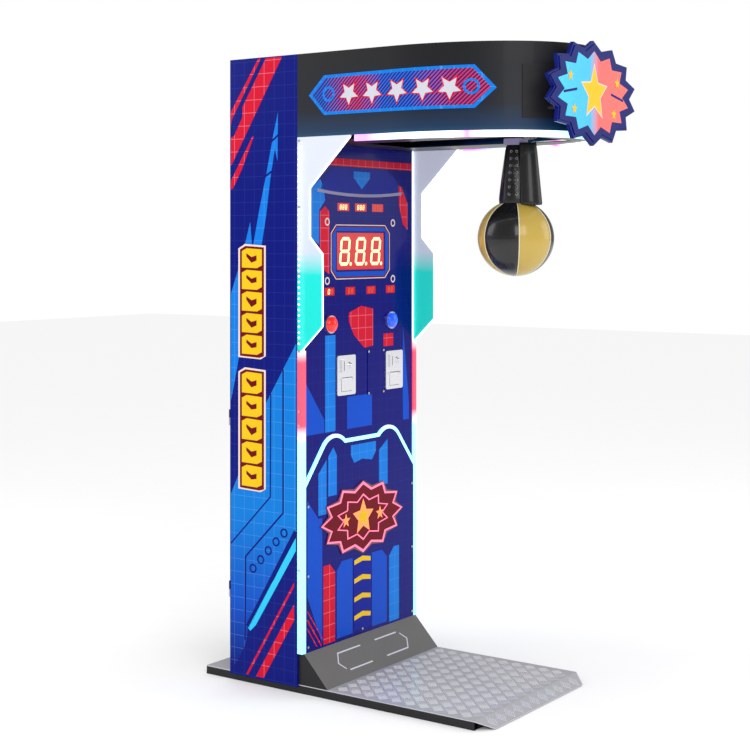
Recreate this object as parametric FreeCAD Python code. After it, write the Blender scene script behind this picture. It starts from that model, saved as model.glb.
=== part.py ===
import FreeCAD, Part
import math
import os

# A boxing punch machine: a cabinet on a tread-plate deck, with a header that reaches out over
# the player and carries a ball on a swinging arm.  Millimetres, +Z up, front facing -Y.
# X = 0 is the middle, Y = 0 the face of the upper front panel, Z = 0 the floor.

V = FreeCAD.Vector
ORIGIN = V(0, 0, 0)
X_AXIS = V(1, 0, 0)
Y_AXIS = V(0, 1, 0)
Z_AXIS = V(0, 0, 1)

# ---------------------------------------------------------------- overall sizes
HEIGHT = 2200.0            # floor to the top of the cabinet and the header
BODY_WIDTH = 690.0         # deck, frame and end plates
CABINET_DEPTH = 319.0      # upper front panel to the back face
SKIN = 7.5                 # printed side panel
SEAT = 0.3                 # gap between separate pieces that meet
FIT = 0.05                 # radial clearance of a shaft, pin or plunger in its hole
TUBE = 30.0                # square frame tube
TUBE_WALL = 2.0
SHEET = 3.0                # steel sheet of the back, the soffit and the deck
HALF = BODY_WIDTH / 2
OUTER = HALF + SKIN

# ---------------------------------------------------------------- base, deck and kick plate
DECK_TOP = 30.0
DECK_FRONT = 692.0         # deck in front of the panel
DECK_REAR = 117.0          # deck behind the cabinet
LIP_RUN = 50.0             # sloping front lip, along Y
LIP_DROP = 25.0
LIP_CORNER = 48.0          # corner cut off each end of the lip
DECK_CROSS_RAIL = 350.0    # middle cross rail in front of the panel
KICK_TOP = 137.0
KICK_RUN = 107.0
KICK_SHEET = 2.0
SKIN_BELOW_DECK = 8.0

# ---------------------------------------------------------------- cabinet
CORNER_WIDTH = 20.5        # light diffuser at each front corner
CORNER_REAR = 16.0         # back of the diffuser, and front edge of the side panels
PANEL = 5.0                # upper front panel
LOWER_PROUD = 6.0          # lower front panel, in front of the upper one
PANEL_HALF = OUTER - CORNER_WIDTH - SEAT
CARRIER = 20.0             # strip that carries the panels' edges
DOOR_BOTTOM = 153.0
DOOR_TOP = 1097.0
DOOR_GAP = 3.0
HINGE_HEIGHTS = (320.0, 930.0)
HINGE_HALF = 28.0
KNUCKLE_R = 5.0
HINGE_PIN_R = 2.5
HINGE_OUT = 5.5            # hinge axis behind the back face
LOCK_Z = 640.0
LOCK_R = 9.5
LOCK_INSET = 24.0          # lock axis inside the upright's inner face
CAM_LENGTH = 42.0
CAM_WIDTH = 16.0
SHELF_DROP = 380.0         # service shelf below the coin plates' middle

# ---------------------------------------------------------------- header
HEADER_HEIGHT = 286.0
SHELL = 6.0
NOSE_START = 379.0         # straight sides end here
NOSE_LENGTH = 527.0        # half ellipse in front of them
LED_BAND = 21.0            # light band under the shell
LED_BAND_WIDTH = 14.0
LED_BAND_INSET = 2.0
LED_BAND_REAR = 225.0
SOFFIT_RISE = 5.0          # soffit plate above the band's lower edge
TOP_SHEET = 6.0
BEAM = 40.0
BEAM_GAP = 50.0            # upright to header beam
BEAM_DROP = 120.0          # header top to beam top
BEAM_FRONT = 708.0
BUFFER_RAIL = 485.0
SPEAKER_R = 50.0
SPEAKER_DEPTH = 40.0
SPEAKER_EDGE = 105.0
SPEAKER_Y = 62.0
HEADER_BOTTOM = HEIGHT - HEADER_HEIGHT
BAND_BOTTOM = HEADER_BOTTOM - SEAT - LED_BAND
SOFFIT_BOTTOM = BAND_BOTTOM + SOFFIT_RISE
SOFFIT_TOP = SOFFIT_BOTTOM + SHEET
BEAM_TOP = HEIGHT - BEAM_DROP
BEAM_BOTTOM = BEAM_TOP - BEAM
BEAM_OUT = HALF - TUBE - BEAM_GAP

# ---------------------------------------------------------------- swinging arm and ball
PIVOT_Y = -645.0
PIVOT_RISE = 60.0          # pivot above the soffit plate
ARM_LENGTH = 393.5         # pivot to the middle of the ball
BALL_R = 130.0
SHAFT_R = 10.0
HUB_R = 28.0
HUB_HALF = 50.0
ARM_R = 16.0
ARM_IN_BALL = 95.0
COLLAR_HALF = 30.0
COLLAR_TOP = 58.0          # below the pivot
COLLAR_HEIGHT = 22.0
NECK_TOP_R = 35.0
NECK_BOTTOM_R = 60.0
NECK_DROP = 13.0           # skirt's rim below the ball's top
PAD_WALL = 15.0
PAD_TOP_R = 34.0
PAD_BOTTOM_R = 46.0
PAD_TOP_FRONT = 76.0       # pad's face in front of the pivot
PAD_BOTTOM_FRONT = 97.0
PAD_CLEAR = 1.0
WELL_CLEAR = 20.0
BEARING_IN = 60.0
BEARING_THICK = 24.0
BEARING_LENGTH = 146.0
BEARING_BOSS = 26.0
DISC_R = 55.0
DISC_X = 100.0
DISC_THICK = 2.0
DISC_SLOTS = 24
FORK_GAP = 2.0
LUG_TIP = 48.0
LUG_HALF = 6.0
HOOK_X = -40.0
HOOK_WIDTH = 12.0
HOOK_PIN_FRONT = 85.0      # hook pin in front of the pivot
HOOK_PIN_RISE = 55.0       # and above it
HOOK_NOSE_FRONT = 40.0
HOOK_NOSE_RISE = 12.0
HOOK_BAR = 5.0             # half width of the hook's bar
HOOK_OPEN_DEG = 25.0
HOOK_PIN_R = 4.0
HOOK_TAIL = 28.0
SOLENOID_HALF = 15.0
SOLENOID_LENGTH = 55.0
PLUNGER_R = 4.0
PLUNGER_OUT = 34.0
PLUNGER_GAP = 1.4         # plunger tip to the hook's tail
BRACKET = 4.0
BUFFER_HALF = 25.0
PIVOT_Z = SOFFIT_TOP + PIVOT_RISE
BALL_Z = PIVOT_Z - ARM_LENGTH
HOOK_PIN_Y = PIVOT_Y - HOOK_PIN_FRONT
HOOK_PIN_Z = PIVOT_Z + HOOK_PIN_RISE
CROSS_GAP = 55.0           # pivot to the middle of each cross beam beside it

# ---------------------------------------------------------------- wings and sign
WING = 10.0
WING_REAR_GAP = 0.3
# distance in front of the panel, and below the header, down the wing's free edge
WING_EDGE = ((210.0, 0.0), (36.0, 175.0), (36.0, 345.0), (90.0, 403.0), (90.0, 648.0), (0.0, 735.0))
SIGN_FRONT = 940.0
SIGN_THICK = 13.0
SIGN_FACE = 3.0
SIGN_HALF_WIDTH = 315.0
SIGN_HALF_HEIGHT = 172.0
SIGN_DROP = 160.0          # middle of the sign below the header top
SIGN_POINTS = 14
SIGN_NOTCH = 0.84          # inner radius of the burst against its outer radius
SIGN_BORDER = 12.0
SIGN_PLATE_HALF = 218.0
SIGN_PLATE_HEIGHT = 172.0
POST_X = 150.0
POST_Z = 52.0
POST_R = 8.0

# ---------------------------------------------------------------- front panel fittings
# heights are measured down from the soffit plate
MINI_Z = 219.0
MINI_STEP = 106.0
MINI_SIZE = (72.0, 29.0)
MAIN_Z = 377.0
MAIN_SIZE = (290.0, 133.0)
SMALL_Z = 519.0
SMALL_X = (-188.0, -64.0, 64.0, 188.0)
SMALL_SIZE = (58.0, 29.0)
FILTER_INSET = 0.6
BOARD_MARGIN = 9.0
BOARD_DEPTH = 11.0
BUTTON_Z = 634.0
BUTTON_X = 187.0
BUTTON_RING_R = 32.0
BUTTON_RING_WALL = 4.0
BUTTON_RING_HEIGHT = 8.0
BUTTON_BACK = 2.0
BUTTON_BARREL_R = 14.0
BUTTON_BARREL = 40.0
BUTTON_STEM_R = 8.0
BUTTON_STEM_END = 30.0
BUTTON_SKIRT = 7.0
BUTTON_CAP_FOOT = 7.0      # cap's back in front of the panel
BUTTON_DOME = 12.0
NUT_R = 20.0
NUT_DEPTH = 8.0
COIN_Z = 819.0
COIN_X = (-94.0, 207.0)
COIN_WIDTH = 110.0
COIN_HEIGHT = 142.0
COIN_PLATE = 5.0
COIN_HOLE_EDGE = 10.0
COIN_BOSS = (26.0, 46.0, 6.0)
COIN_BOSS_X = -22.0
COIN_BOSS_Z = 34.0
COIN_SLOT = (3.4, 34.0)
REJECT_X = 24.0
REJECT_Z = 34.0
REJECT_R = 9.0
REJECT_PROUD = 9.0
REJECT_TAIL = 10.0
RETURN_SIZE = (64.0, 44.0)
RETURN_Z = -36.0
FLAP_THICK = 2.0
FLAP_PIN_R = 1.8
FLAP_PIN_OUT = 5.0
CUP_WALL = 2.0
CUP_DEPTH = 52.0
MECH_DEPTH = 48.0
MECH_BOTTOM = 4.0          # coin mechanism above the plate's middle
BLANK_X = 92.0
BLANK_SIZE = (104.0, 162.0)
BLANK_THICK = 2.0
EMBLEM_HALF_WIDTH = 255.0
EMBLEM_HALF_HEIGHT = 132.0
EMBLEM_POINTS = 12
EMBLEM_THICK = 4.0
EMBLEM_RISE = 72.0         # emblem's middle above the middle of the lower panel

# ---------------------------------------------------------------- lower front panel
DIP_DROP = 1059.0          # flat middle of its top edge, below the soffit plate
LOBE_X = 165.0
LOBE_R = 80.0
LOBE_RISE = 24.0
LOBE_OUT_DEG = 50.0
LOBE_IN_DEG = 40.0
NEON = 13.0
NEON_PROUD = 7.0
SCREW_HEAD_R = 4.5
SCREW_HEAD = 2.2
SCREW_R = 2.0
SCREW_LENGTH = 4.5
SCREW_EDGE = 11.0
SCREW_HEIGHTS = (155.0, 400.0, 640.0)
CORNER_SCREW_DROPS = (12.0, 240.0, 470.0, 705.0, 737.0, 943.0, 992.0, 1490.0)
CORNER_SCREW_Y = 8.0

# ---------------------------------------------------------------- things inside the cabinet
CASH_HEIGHT = 130.0
CASH_DEPTH = 150.0
CASH_WALL = 1.5
CASH_FRONT = 62.0
BOARD = (160.0, 150.0, 22.0)
SUPPLY = (200.0, 110.0, 50.0)
SUPPLY_Y = 110.0
INLET_X = 180.0
INLET_Z = 92.0
INLET_SIZE = (50.0, 62.0)
INLET_DEPTH = 30.0
ROCKER = (14.0, 22.0)
ROCKER_RISE = 16.0
ROCKER_PIN_R = 2.0
ROCKER_PIN_IN = 4.0        # rocker's axis inside the back face
BACK_SILL = 58.0           # lowest edge of the fixed lower back panel

MINI_LEVEL = SOFFIT_BOTTOM - MINI_Z
MAIN_LEVEL = SOFFIT_BOTTOM - MAIN_Z
SMALL_LEVEL = SOFFIT_BOTTOM - SMALL_Z
BUTTON_LEVEL = SOFFIT_BOTTOM - BUTTON_Z
COIN_LEVEL = SOFFIT_BOTTOM - COIN_Z
DIP_LEVEL = SOFFIT_BOTTOM - DIP_DROP
SHELF_LEVEL = COIN_LEVEL - SHELF_DROP
BACK_Y = CABINET_DEPTH
UPRIGHT_FRONT = CORNER_REAR + 1.0
UPRIGHT_REAR = BACK_Y - SHEET - TUBE


# ================================================================ helpers
def box(x0, x1, y0, y1, z0, z1):
    return Part.makeBox(x1 - x0, y1 - y0, z1 - z0, V(x0, y0, z0))


def rod(radius, start, axis, length):
    return Part.makeCylinder(radius, length, start, axis)


def prism_x(points, x0, x1):
    """A prism along X over (y, z) points."""
    wire = Part.makePolygon([V(x0, y, z) for y, z in points] + [V(x0, *points[0])])
    return Part.Face(wire).extrude(V(x1 - x0, 0, 0))


def prism_y(points, y0, y1):
    """A prism along Y over (x, z) points."""
    wire = Part.makePolygon([V(x, y0, z) for x, z in points] + [V(points[0][0], y0, points[0][1])])
    return Part.Face(wire).extrude(V(0, y1 - y0, 0))


def mirrored(shape):
    return shape.mirror(ORIGIN, X_AXIS)


def pair(shape):
    return Part.makeCompound([shape, mirrored(shape)])


def square_tube(x0, x1, y0, y1, z0, z1):
    """A square tube along its longest side, open at both ends."""
    spans = [x1 - x0, y1 - y0, z1 - z0]
    along = spans.index(max(spans))
    inset = [TUBE_WALL, TUBE_WALL, TUBE_WALL]
    inset[along] = 0.0
    core = box(x0 + inset[0], x1 - inset[0], y0 + inset[1], y1 - inset[1], z0 + inset[2], z1 - inset[2])
    return box(x0, x1, y0, y1, z0, z1).cut(core)


def burst(half_width, half_height, points, notch, middle_z, y0, y1):
    """A pointed burst round an ellipse."""
    outline = []
    for k in range(2 * points):
        reach = 1.0 if k % 2 == 0 else notch
        angle = math.pi * k / points + math.pi / 2
        outline.append((reach * half_width * math.cos(angle), middle_z + reach * half_height * math.sin(angle)))
    return prism_y(outline, y0, y1)


def header_plan(inset, z0, z1, rear):
    """The header's plan: straight sides and a half-ellipse nose."""
    half = OUTER - inset
    nose = NOSE_LENGTH - inset
    ellipse = Part.Ellipse(V(0, -NOSE_START - nose, z0), V(half, -NOSE_START, z0), V(0, -NOSE_START, z0))
    curve = Part.ArcOfEllipse(ellipse, -math.pi / 2, math.pi / 2).toShape()
    ends = [V(half, rear, z0), V(-half, rear, z0)]
    sides = [V(half, -NOSE_START, z0), V(-half, -NOSE_START, z0)]
    edges = [Part.makeLine(ends[0], sides[0]), curve, Part.makeLine(sides[1], ends[1])]
    edges.append(Part.makeLine(ends[1], ends[0]))
    return Part.Face(Part.Wire(Part.__sortEdges__(edges))).extrude(V(0, 0, z1 - z0))


# ================================================================ base, deck and kick plate
def base_rails():
    side = square_tube(HALF - TUBE, HALF, -DECK_FRONT, BACK_Y + DECK_REAR, 0, DECK_TOP - SHEET)
    rails = [side, mirrored(side)]
    middles = (-DECK_FRONT + TUBE / 2, -DECK_CROSS_RAIL, 0.0, BACK_Y - TUBE / 2, BACK_Y + DECK_REAR - TUBE / 2)
    for y in middles:
        rails.append(square_tube(TUBE - HALF, HALF - TUBE, y - TUBE / 2, y + TUBE / 2, 0, DECK_TOP - SHEET))
    return Part.makeCompound(rails)


def deck_plate():
    plate = box(-HALF, HALF, -DECK_FRONT, BACK_Y + DECK_REAR, DECK_TOP - SHEET, DECK_TOP)
    front = -DECK_FRONT - LIP_RUN
    top = [(-DECK_FRONT, DECK_TOP), (front, DECK_TOP - LIP_DROP)]
    lip = prism_x(top + [(y, z - SHEET) for y, z in reversed(top)], -HALF, HALF)
    corner = Part.makePolygon([V(HALF - LIP_CORNER, front, -1), V(HALF + 1, front, -1),
                               V(HALF + 1, -DECK_FRONT, -1), V(HALF, -DECK_FRONT, -1),
                               V(HALF - LIP_CORNER, front, -1)])
    cutter = Part.Face(corner).extrude(V(0, 0, DECK_TOP + 2))
    return plate.fuse(lip.cut(cutter).cut(mirrored(cutter))).removeSplitter()


def kick_plate():
    face = [(-LOWER_PROUD, KICK_TOP), (-KICK_RUN, DECK_TOP)]
    back = [(-KICK_RUN + 2 * KICK_SHEET, DECK_TOP), (-LOWER_PROUD + KICK_SHEET, KICK_TOP)]
    return prism_x(face + back, KICK_SHEET + SEAT - HALF, HALF - KICK_SHEET - SEAT)


def kick_end_plates():
    outline = [(-KICK_RUN, DECK_TOP), (-LOWER_PROUD, KICK_TOP), (CORNER_REAR - SEAT, KICK_TOP),
               (CORNER_REAR - SEAT, DECK_TOP)]
    return pair(prism_x(outline, HALF - KICK_SHEET, HALF))


# ================================================================ cabinet
def cabinet_frame():
    top = HEIGHT - TOP_SHEET
    bars = []
    for y in (UPRIGHT_FRONT, UPRIGHT_REAR):
        post = square_tube(HALF - TUBE, HALF, y, y + TUBE, DECK_TOP, top)
        bars += [post, mirrored(post)]
    reach = HALF - TUBE
    for z in (SMALL_LEVEL - 40.0 - TUBE, COIN_LEVEL - 110.0 - TUBE, BEAM_BOTTOM - TUBE):
        bars.append(square_tube(-reach, reach, UPRIGHT_FRONT, UPRIGHT_FRONT + TUBE, z, z + TUBE))
    for z in (DECK_TOP, DOOR_TOP + DOOR_GAP, BEAM_BOTTOM - TUBE):
        bars.append(square_tube(-reach, reach, UPRIGHT_REAR, UPRIGHT_REAR + TUBE, z, z + TUBE))
    carrier = box(PANEL_HALF - CARRIER, PANEL_HALF, PANEL, UPRIGHT_FRONT, KICK_TOP, SOFFIT_BOTTOM)
    bars += [carrier, mirrored(carrier)]
    return Part.makeCompound(bars)


def side_panel(sign):
    low = DECK_TOP - SKIN_BELOW_DECK
    panel = box(HALF, OUTER, CORNER_REAR, BACK_Y, low, HEIGHT)
    return panel if sign > 0 else mirrored(panel)


def side_panel_left():
    return side_panel(-1)


def side_panel_right():
    return side_panel(1)


def top_panel():
    header = header_plan(SHELL + SEAT, HEIGHT - TOP_SHEET, HEIGHT, CORNER_REAR)
    cabinet = box(-HALF, HALF, CORNER_REAR, BACK_Y, HEIGHT - TOP_SHEET, HEIGHT)
    return header.fuse(cabinet).removeSplitter()


def back_panels():
    upper = box(-HALF, HALF, BACK_Y - SHEET, BACK_Y, DOOR_TOP + DOOR_GAP, HEIGHT - TOP_SHEET)
    sill = box(-HALF, HALF, BACK_Y - SHEET, BACK_Y, DECK_TOP, DOOR_BOTTOM - DOOR_GAP)
    hole_x = INLET_SIZE[0] / 2
    hole_z = INLET_SIZE[1] / 2
    hole = box(INLET_X - hole_x, INLET_X + hole_x, BACK_Y - SHEET, BACK_Y, INLET_Z - hole_z, INLET_Z + hole_z)
    return Part.makeCompound([upper, sill.cut(hole)])


def lock_x():
    return HALF - TUBE - LOCK_INSET


def back_door():
    left = -HALF + KNUCKLE_R
    door = box(left, HALF - DOOR_GAP, BACK_Y - SHEET, BACK_Y, DOOR_BOTTOM, DOOR_TOP)
    door = door.cut(rod(LOCK_R + FIT, V(lock_x(), BACK_Y - SHEET, LOCK_Z), Y_AXIS, SHEET))
    axis_y = BACK_Y + HINGE_OUT
    for z in HINGE_HEIGHTS:
        leaf = box(-HALF, left + TUBE, BACK_Y + SEAT, BACK_Y + SEAT + SHEET, z, z + HINGE_HALF)
        leaf = leaf.fuse(box(left, left + TUBE, BACK_Y, BACK_Y + SEAT, z, z + HINGE_HALF))
        leaf = leaf.fuse(rod(KNUCKLE_R, V(-HALF, axis_y, z), Z_AXIS, HINGE_HALF))
        door = door.fuse(leaf.cut(rod(HINGE_PIN_R + FIT, V(-HALF, axis_y, z), Z_AXIS, HINGE_HALF)))
    return door.removeSplitter()


def door_hinge_pins():
    """Frame half of each hinge: leaf on the side panel's rear edge, knuckle and pin."""
    axis_y = BACK_Y + HINGE_OUT
    hinges = []
    for z in HINGE_HEIGHTS:
        low = z - HINGE_HALF
        half = rod(KNUCKLE_R, V(-HALF, axis_y, low), Z_AXIS, HINGE_HALF - SEAT)
        half = half.fuse(rod(HINGE_PIN_R, V(-HALF, axis_y, low), Z_AXIS, 2 * HINGE_HALF))
        half = half.fuse(box(-OUTER, -HALF, BACK_Y, BACK_Y + SHEET, low, z - SEAT))
        hinges.append(half.removeSplitter())
    return Part.makeCompound(hinges)


def door_lock_barrel():
    start = V(lock_x(), UPRIGHT_REAR - SHEET, LOCK_Z)
    barrel = rod(LOCK_R, start, Y_AXIS, BACK_Y - start.y + SHEET)
    flange = rod(LOCK_R + SHEET, V(lock_x(), BACK_Y, LOCK_Z), Y_AXIS, SHEET)
    return barrel.fuse(flange).removeSplitter()


def door_lock_cam():
    """Stored unlocked, hanging down; turned a quarter it reaches behind the upright."""
    rear = UPRIGHT_REAR - SHEET - SEAT
    half = CAM_WIDTH / 2
    bar = box(lock_x() - half, lock_x() + half, rear - SHEET, rear, LOCK_Z - CAM_LENGTH, LOCK_Z)
    return bar.fuse(rod(half, V(lock_x(), rear - SHEET, LOCK_Z), Y_AXIS, SHEET)).removeSplitter()


def service_shelf():
    front = UPRIGHT_FRONT + TUBE + SEAT
    shelf = box(-HALF + SEAT, HALF - SEAT, front, UPRIGHT_REAR - SHEET, SHELF_LEVEL - SHEET, SHELF_LEVEL)
    return shelf


def cash_box():
    x0 = COIN_X[0] - COIN_WIDTH / 2
    x1 = COIN_X[1] + COIN_WIDTH / 2
    outside = box(x0, x1, CASH_FRONT, CASH_FRONT + CASH_DEPTH, SHELF_LEVEL, SHELF_LEVEL + CASH_HEIGHT)
    inside = box(x0 + CASH_WALL, x1 - CASH_WALL, CASH_FRONT + CASH_WALL, CASH_FRONT + CASH_DEPTH - CASH_WALL,
                 SHELF_LEVEL + CASH_WALL, SHELF_LEVEL + CASH_HEIGHT)
    return outside.cut(inside)


def main_board():
    x0 = -HALF + TUBE
    return box(x0, x0 + BOARD[0] - TUBE, CASH_FRONT, CASH_FRONT + BOARD[1], SHELF_LEVEL, SHELF_LEVEL + BOARD[2])


def power_supply():
    half = SUPPLY[0] / 2
    return box(-half, half, SUPPLY_Y, SUPPLY_Y + SUPPLY[1], DECK_TOP, DECK_TOP + SUPPLY[2])


def rocker_pin(radius, reach):
    half = ROCKER[0] / 2 + reach
    return rod(radius, V(INLET_X - half, BACK_Y - ROCKER_PIN_IN, INLET_Z + ROCKER_RISE - 2), X_AXIS, 2 * half)


def power_inlet():
    """Appliance inlet and switch housing in the sill."""
    half_x = INLET_SIZE[0] / 2 - SEAT
    half_z = INLET_SIZE[1] / 2 - SEAT
    body = box(INLET_X - half_x, INLET_X + half_x, BACK_Y - INLET_DEPTH, BACK_Y, INLET_Z - half_z, INLET_Z + half_z)
    rim = box(INLET_X - half_x - SHEET, INLET_X + half_x + SHEET, BACK_Y, BACK_Y + 2.0,
              INLET_Z - half_z - SHEET, INLET_Z + half_z + SHEET)
    socket = box(INLET_X - 14, INLET_X + 14, BACK_Y - 20, BACK_Y + 2, INLET_Z - 26, INLET_Z - 8)
    well_x = ROCKER[0] / 2 + SEAT
    well_z = ROCKER[1] / 2 + 1
    middle = INLET_Z + ROCKER_RISE - 2
    well = box(INLET_X - well_x, INLET_X + well_x, BACK_Y - 14, BACK_Y + 2, middle - well_z, middle + well_z)
    axis = rocker_pin(ROCKER_PIN_R + FIT, 2.5)
    return body.fuse(rim).cut(socket).cut(well).cut(axis).removeSplitter()


def power_rocker():
    middle = INLET_Z + ROCKER_RISE - 2
    half_x = ROCKER[0] / 2
    face = [(BACK_Y - 9, middle - 9), (BACK_Y + 2.5, middle - 10), (BACK_Y + 0.5, middle),
            (BACK_Y + 4.5, middle + 9), (BACK_Y - 9, middle + 9)]
    return prism_x(face, INLET_X - half_x, INLET_X + half_x).fuse(rocker_pin(ROCKER_PIN_R, 2.0)).removeSplitter()


# ================================================================ front panels and lights
def lower_outline():
    """Lower panel's edge wire in the plane y = 0: straight sides, two lobes and a flat dip."""
    out = math.radians(LOBE_OUT_DEG)
    inner = math.radians(LOBE_IN_DEG)
    mid_z = DIP_LEVEL + LOBE_RISE - LOBE_R
    start = (LOBE_X + LOBE_R * math.sin(out), mid_z + LOBE_R * math.cos(out))
    end = (LOBE_X - LOBE_R * math.sin(inner), mid_z + LOBE_R * math.cos(inner))
    side_z = start[1] - (PANEL_HALF - start[0]) * math.tan(out)
    dip_x = end[0] - (end[1] - DIP_LEVEL) / math.tan(inner)
    edges = []
    for s in (1, -1):
        edges.append(Part.makeLine(V(s * PANEL_HALF, 0, KICK_TOP), V(s * PANEL_HALF, 0, side_z)))
        edges.append(Part.makeLine(V(s * PANEL_HALF, 0, side_z), V(s * start[0], 0, start[1])))
        top = V(s * LOBE_X, 0, mid_z + LOBE_R)
        edges.append(Part.Arc(V(s * start[0], 0, start[1]), top, V(s * end[0], 0, end[1])).toShape())
        edges.append(Part.makeLine(V(s * end[0], 0, end[1]), V(s * dip_x, 0, DIP_LEVEL)))
    edges.append(Part.makeLine(V(-dip_x, 0, DIP_LEVEL), V(dip_x, 0, DIP_LEVEL)))
    edges.append(Part.makeLine(V(-PANEL_HALF, 0, KICK_TOP), V(PANEL_HALF, 0, KICK_TOP)))
    return Part.Wire(Part.__sortEdges__(edges))


def panel_screw_places():
    places = [(s * (PANEL_HALF - SCREW_EDGE), z) for s in (1, -1) for z in SCREW_HEIGHTS]
    return places + [(0.0, SCREW_HEIGHTS[0])]


def blank_screw_places():
    x = BLANK_SIZE[0] / 2 - 5
    z = BLANK_SIZE[1] / 2 - 5
    return [(BLANK_X + sx * x, COIN_LEVEL + sz * z) for sx in (1, -1) for sz in (1, -1)]


def corner_screw_heights():
    return [HEADER_BOTTOM - drop for drop in CORNER_SCREW_DROPS]


def lower_front_panel():
    panel = Part.Face(lower_outline()).extrude(V(0, -LOWER_PROUD, 0))
    for x, z in panel_screw_places():
        panel = panel.cut(rod(SCREW_R + FIT, V(x, -LOWER_PROUD, z), Y_AXIS, SCREW_LENGTH))
    return panel


def neon_strip():
    """Light tube that follows the lower panel's top edge."""
    face = Part.Face(lower_outline())
    grown = Part.Face(face.makeOffset2D(NEON).OuterWire)
    inside = Part.Face(face.makeOffset2D(SEAT).OuterWire)
    ring = grown.cut(inside).extrude(V(0, -NEON_PROUD, 0))
    limit = box(-PANEL_HALF, PANEL_HALF, -NEON_PROUD, 0, KICK_TOP + NEON, HEIGHT)
    return ring.common(limit)


def upper_front_panel():
    panel = box(-PANEL_HALF, PANEL_HALF, 0, PANEL, DIP_LEVEL - 140.0, SOFFIT_BOTTOM)
    for x, z, width, height in filter_places():
        panel = panel.cut(box(x - width / 2, x + width / 2, 0, PANEL, z - height / 2, z + height / 2))
    for s in (1, -1):
        panel = panel.cut(rod(BUTTON_BARREL_R + SEAT, V(s * BUTTON_X, 0, BUTTON_LEVEL), Y_AXIS, PANEL))
    edge = COIN_HOLE_EDGE
    for x in COIN_X:
        panel = panel.cut(box(x - COIN_WIDTH / 2 + edge, x + COIN_WIDTH / 2 - edge, 0, PANEL,
                              COIN_LEVEL - COIN_HEIGHT / 2 + edge, COIN_LEVEL + COIN_HEIGHT / 2 - edge))
    for x, z in blank_screw_places():
        panel = panel.cut(rod(SCREW_R + FIT, V(x, 0, z), Y_AXIS, PANEL))
    return panel


def front_emblem():
    middle = (KICK_TOP + DIP_LEVEL) / 2 + EMBLEM_RISE
    front = -LOWER_PROUD - EMBLEM_THICK
    return burst(EMBLEM_HALF_WIDTH, EMBLEM_HALF_HEIGHT, EMBLEM_POINTS, SIGN_NOTCH, middle, front, -LOWER_PROUD)


def corner_holes(shape):
    for z in corner_screw_heights():
        shape = shape.cut(rod(SCREW_R + FIT, V(OUTER - SCREW_LENGTH, CORNER_SCREW_Y, z), X_AXIS, SCREW_LENGTH))
    return shape


def wing_bottom():
    return HEADER_BOTTOM - WING_EDGE[-1][1]


def corner_diffusers():
    low = box(PANEL_HALF + SEAT, OUTER, -LOWER_PROUD, CORNER_REAR - SEAT, KICK_TOP + SEAT, wing_bottom() - SEAT)
    high = box(PANEL_HALF + SEAT, OUTER - WING - SEAT, 0, CORNER_REAR - SEAT, wing_bottom() - SEAT, SOFFIT_BOTTOM)
    return pair(corner_holes(low.fuse(high).removeSplitter()))


def side_wings():
    rear = CORNER_REAR - WING_REAR_GAP
    outline = [(rear, HEADER_BOTTOM - SEAT)]
    outline += [(-front, HEADER_BOTTOM - SEAT - drop) for front, drop in WING_EDGE]
    outline.append((rear, wing_bottom() - SEAT))
    return pair(corner_holes(prism_x(outline, OUTER - WING, OUTER)))


def screw_y(x, y, z):
    head = rod(SCREW_HEAD_R, V(x, y - SCREW_HEAD, z), Y_AXIS, SCREW_HEAD)
    return head.fuse(rod(SCREW_R, V(x, y, z), Y_AXIS, SCREW_LENGTH)).removeSplitter()


def panel_fasteners():
    """Panel screws, blanking-plate screws, corner screws and the two button nuts."""
    pieces = [screw_y(x, -LOWER_PROUD, z) for x, z in panel_screw_places()]
    pieces += [screw_y(x, -BLANK_THICK, z) for x, z in blank_screw_places()]
    for z in corner_screw_heights():
        screw = rod(SCREW_HEAD_R, V(OUTER, CORNER_SCREW_Y, z), X_AXIS, SCREW_HEAD)
        screw = screw.fuse(rod(SCREW_R, V(OUTER - SCREW_LENGTH, CORNER_SCREW_Y, z), X_AXIS, SCREW_LENGTH))
        pieces += [screw.removeSplitter(), mirrored(screw.removeSplitter())]
    for s in (1, -1):
        nut = rod(NUT_R, V(s * BUTTON_X, PANEL, BUTTON_LEVEL), Y_AXIS, NUT_DEPTH)
        pieces.append(nut.cut(rod(BUTTON_BARREL_R + FIT, V(s * BUTTON_X, PANEL, BUTTON_LEVEL), Y_AXIS, NUT_DEPTH)))
    return Part.makeCompound(pieces)


# ================================================================ displays
def filter_places():
    """Middle and size of every display window: main, small row and mini row."""
    places = [(0.0, MAIN_LEVEL) + MAIN_SIZE]
    places += [(x, SMALL_LEVEL) + SMALL_SIZE for x in SMALL_X]
    places += [(k * MINI_STEP, MINI_LEVEL) + MINI_SIZE for k in (-1, 0, 1)]
    return places


def display_filters():
    pieces = []
    for x, z, width, height in filter_places():
        half_x = width / 2 - SEAT
        half_z = height / 2 - SEAT
        pieces.append(box(x - half_x, x + half_x, FILTER_INSET, PANEL, z - half_z, z + half_z))
    return Part.makeCompound(pieces)


def display_boards():
    rows = [(MAIN_SIZE[0] / 2, MAIN_SIZE[1] / 2, MAIN_LEVEL)]
    rows.append((SMALL_X[-1] + SMALL_SIZE[0] / 2, SMALL_SIZE[1] / 2, SMALL_LEVEL))
    rows.append((MINI_STEP + MINI_SIZE[0] / 2, MINI_SIZE[1] / 2, MINI_LEVEL))
    boards = []
    for half_x, half_z, z in rows:
        x = half_x + BOARD_MARGIN
        tall = half_z + BOARD_MARGIN
        boards.append(box(-x, x, PANEL + SEAT, PANEL + SEAT + BOARD_DEPTH, z - tall, z + tall))
    return Part.makeCompound(boards)


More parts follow.
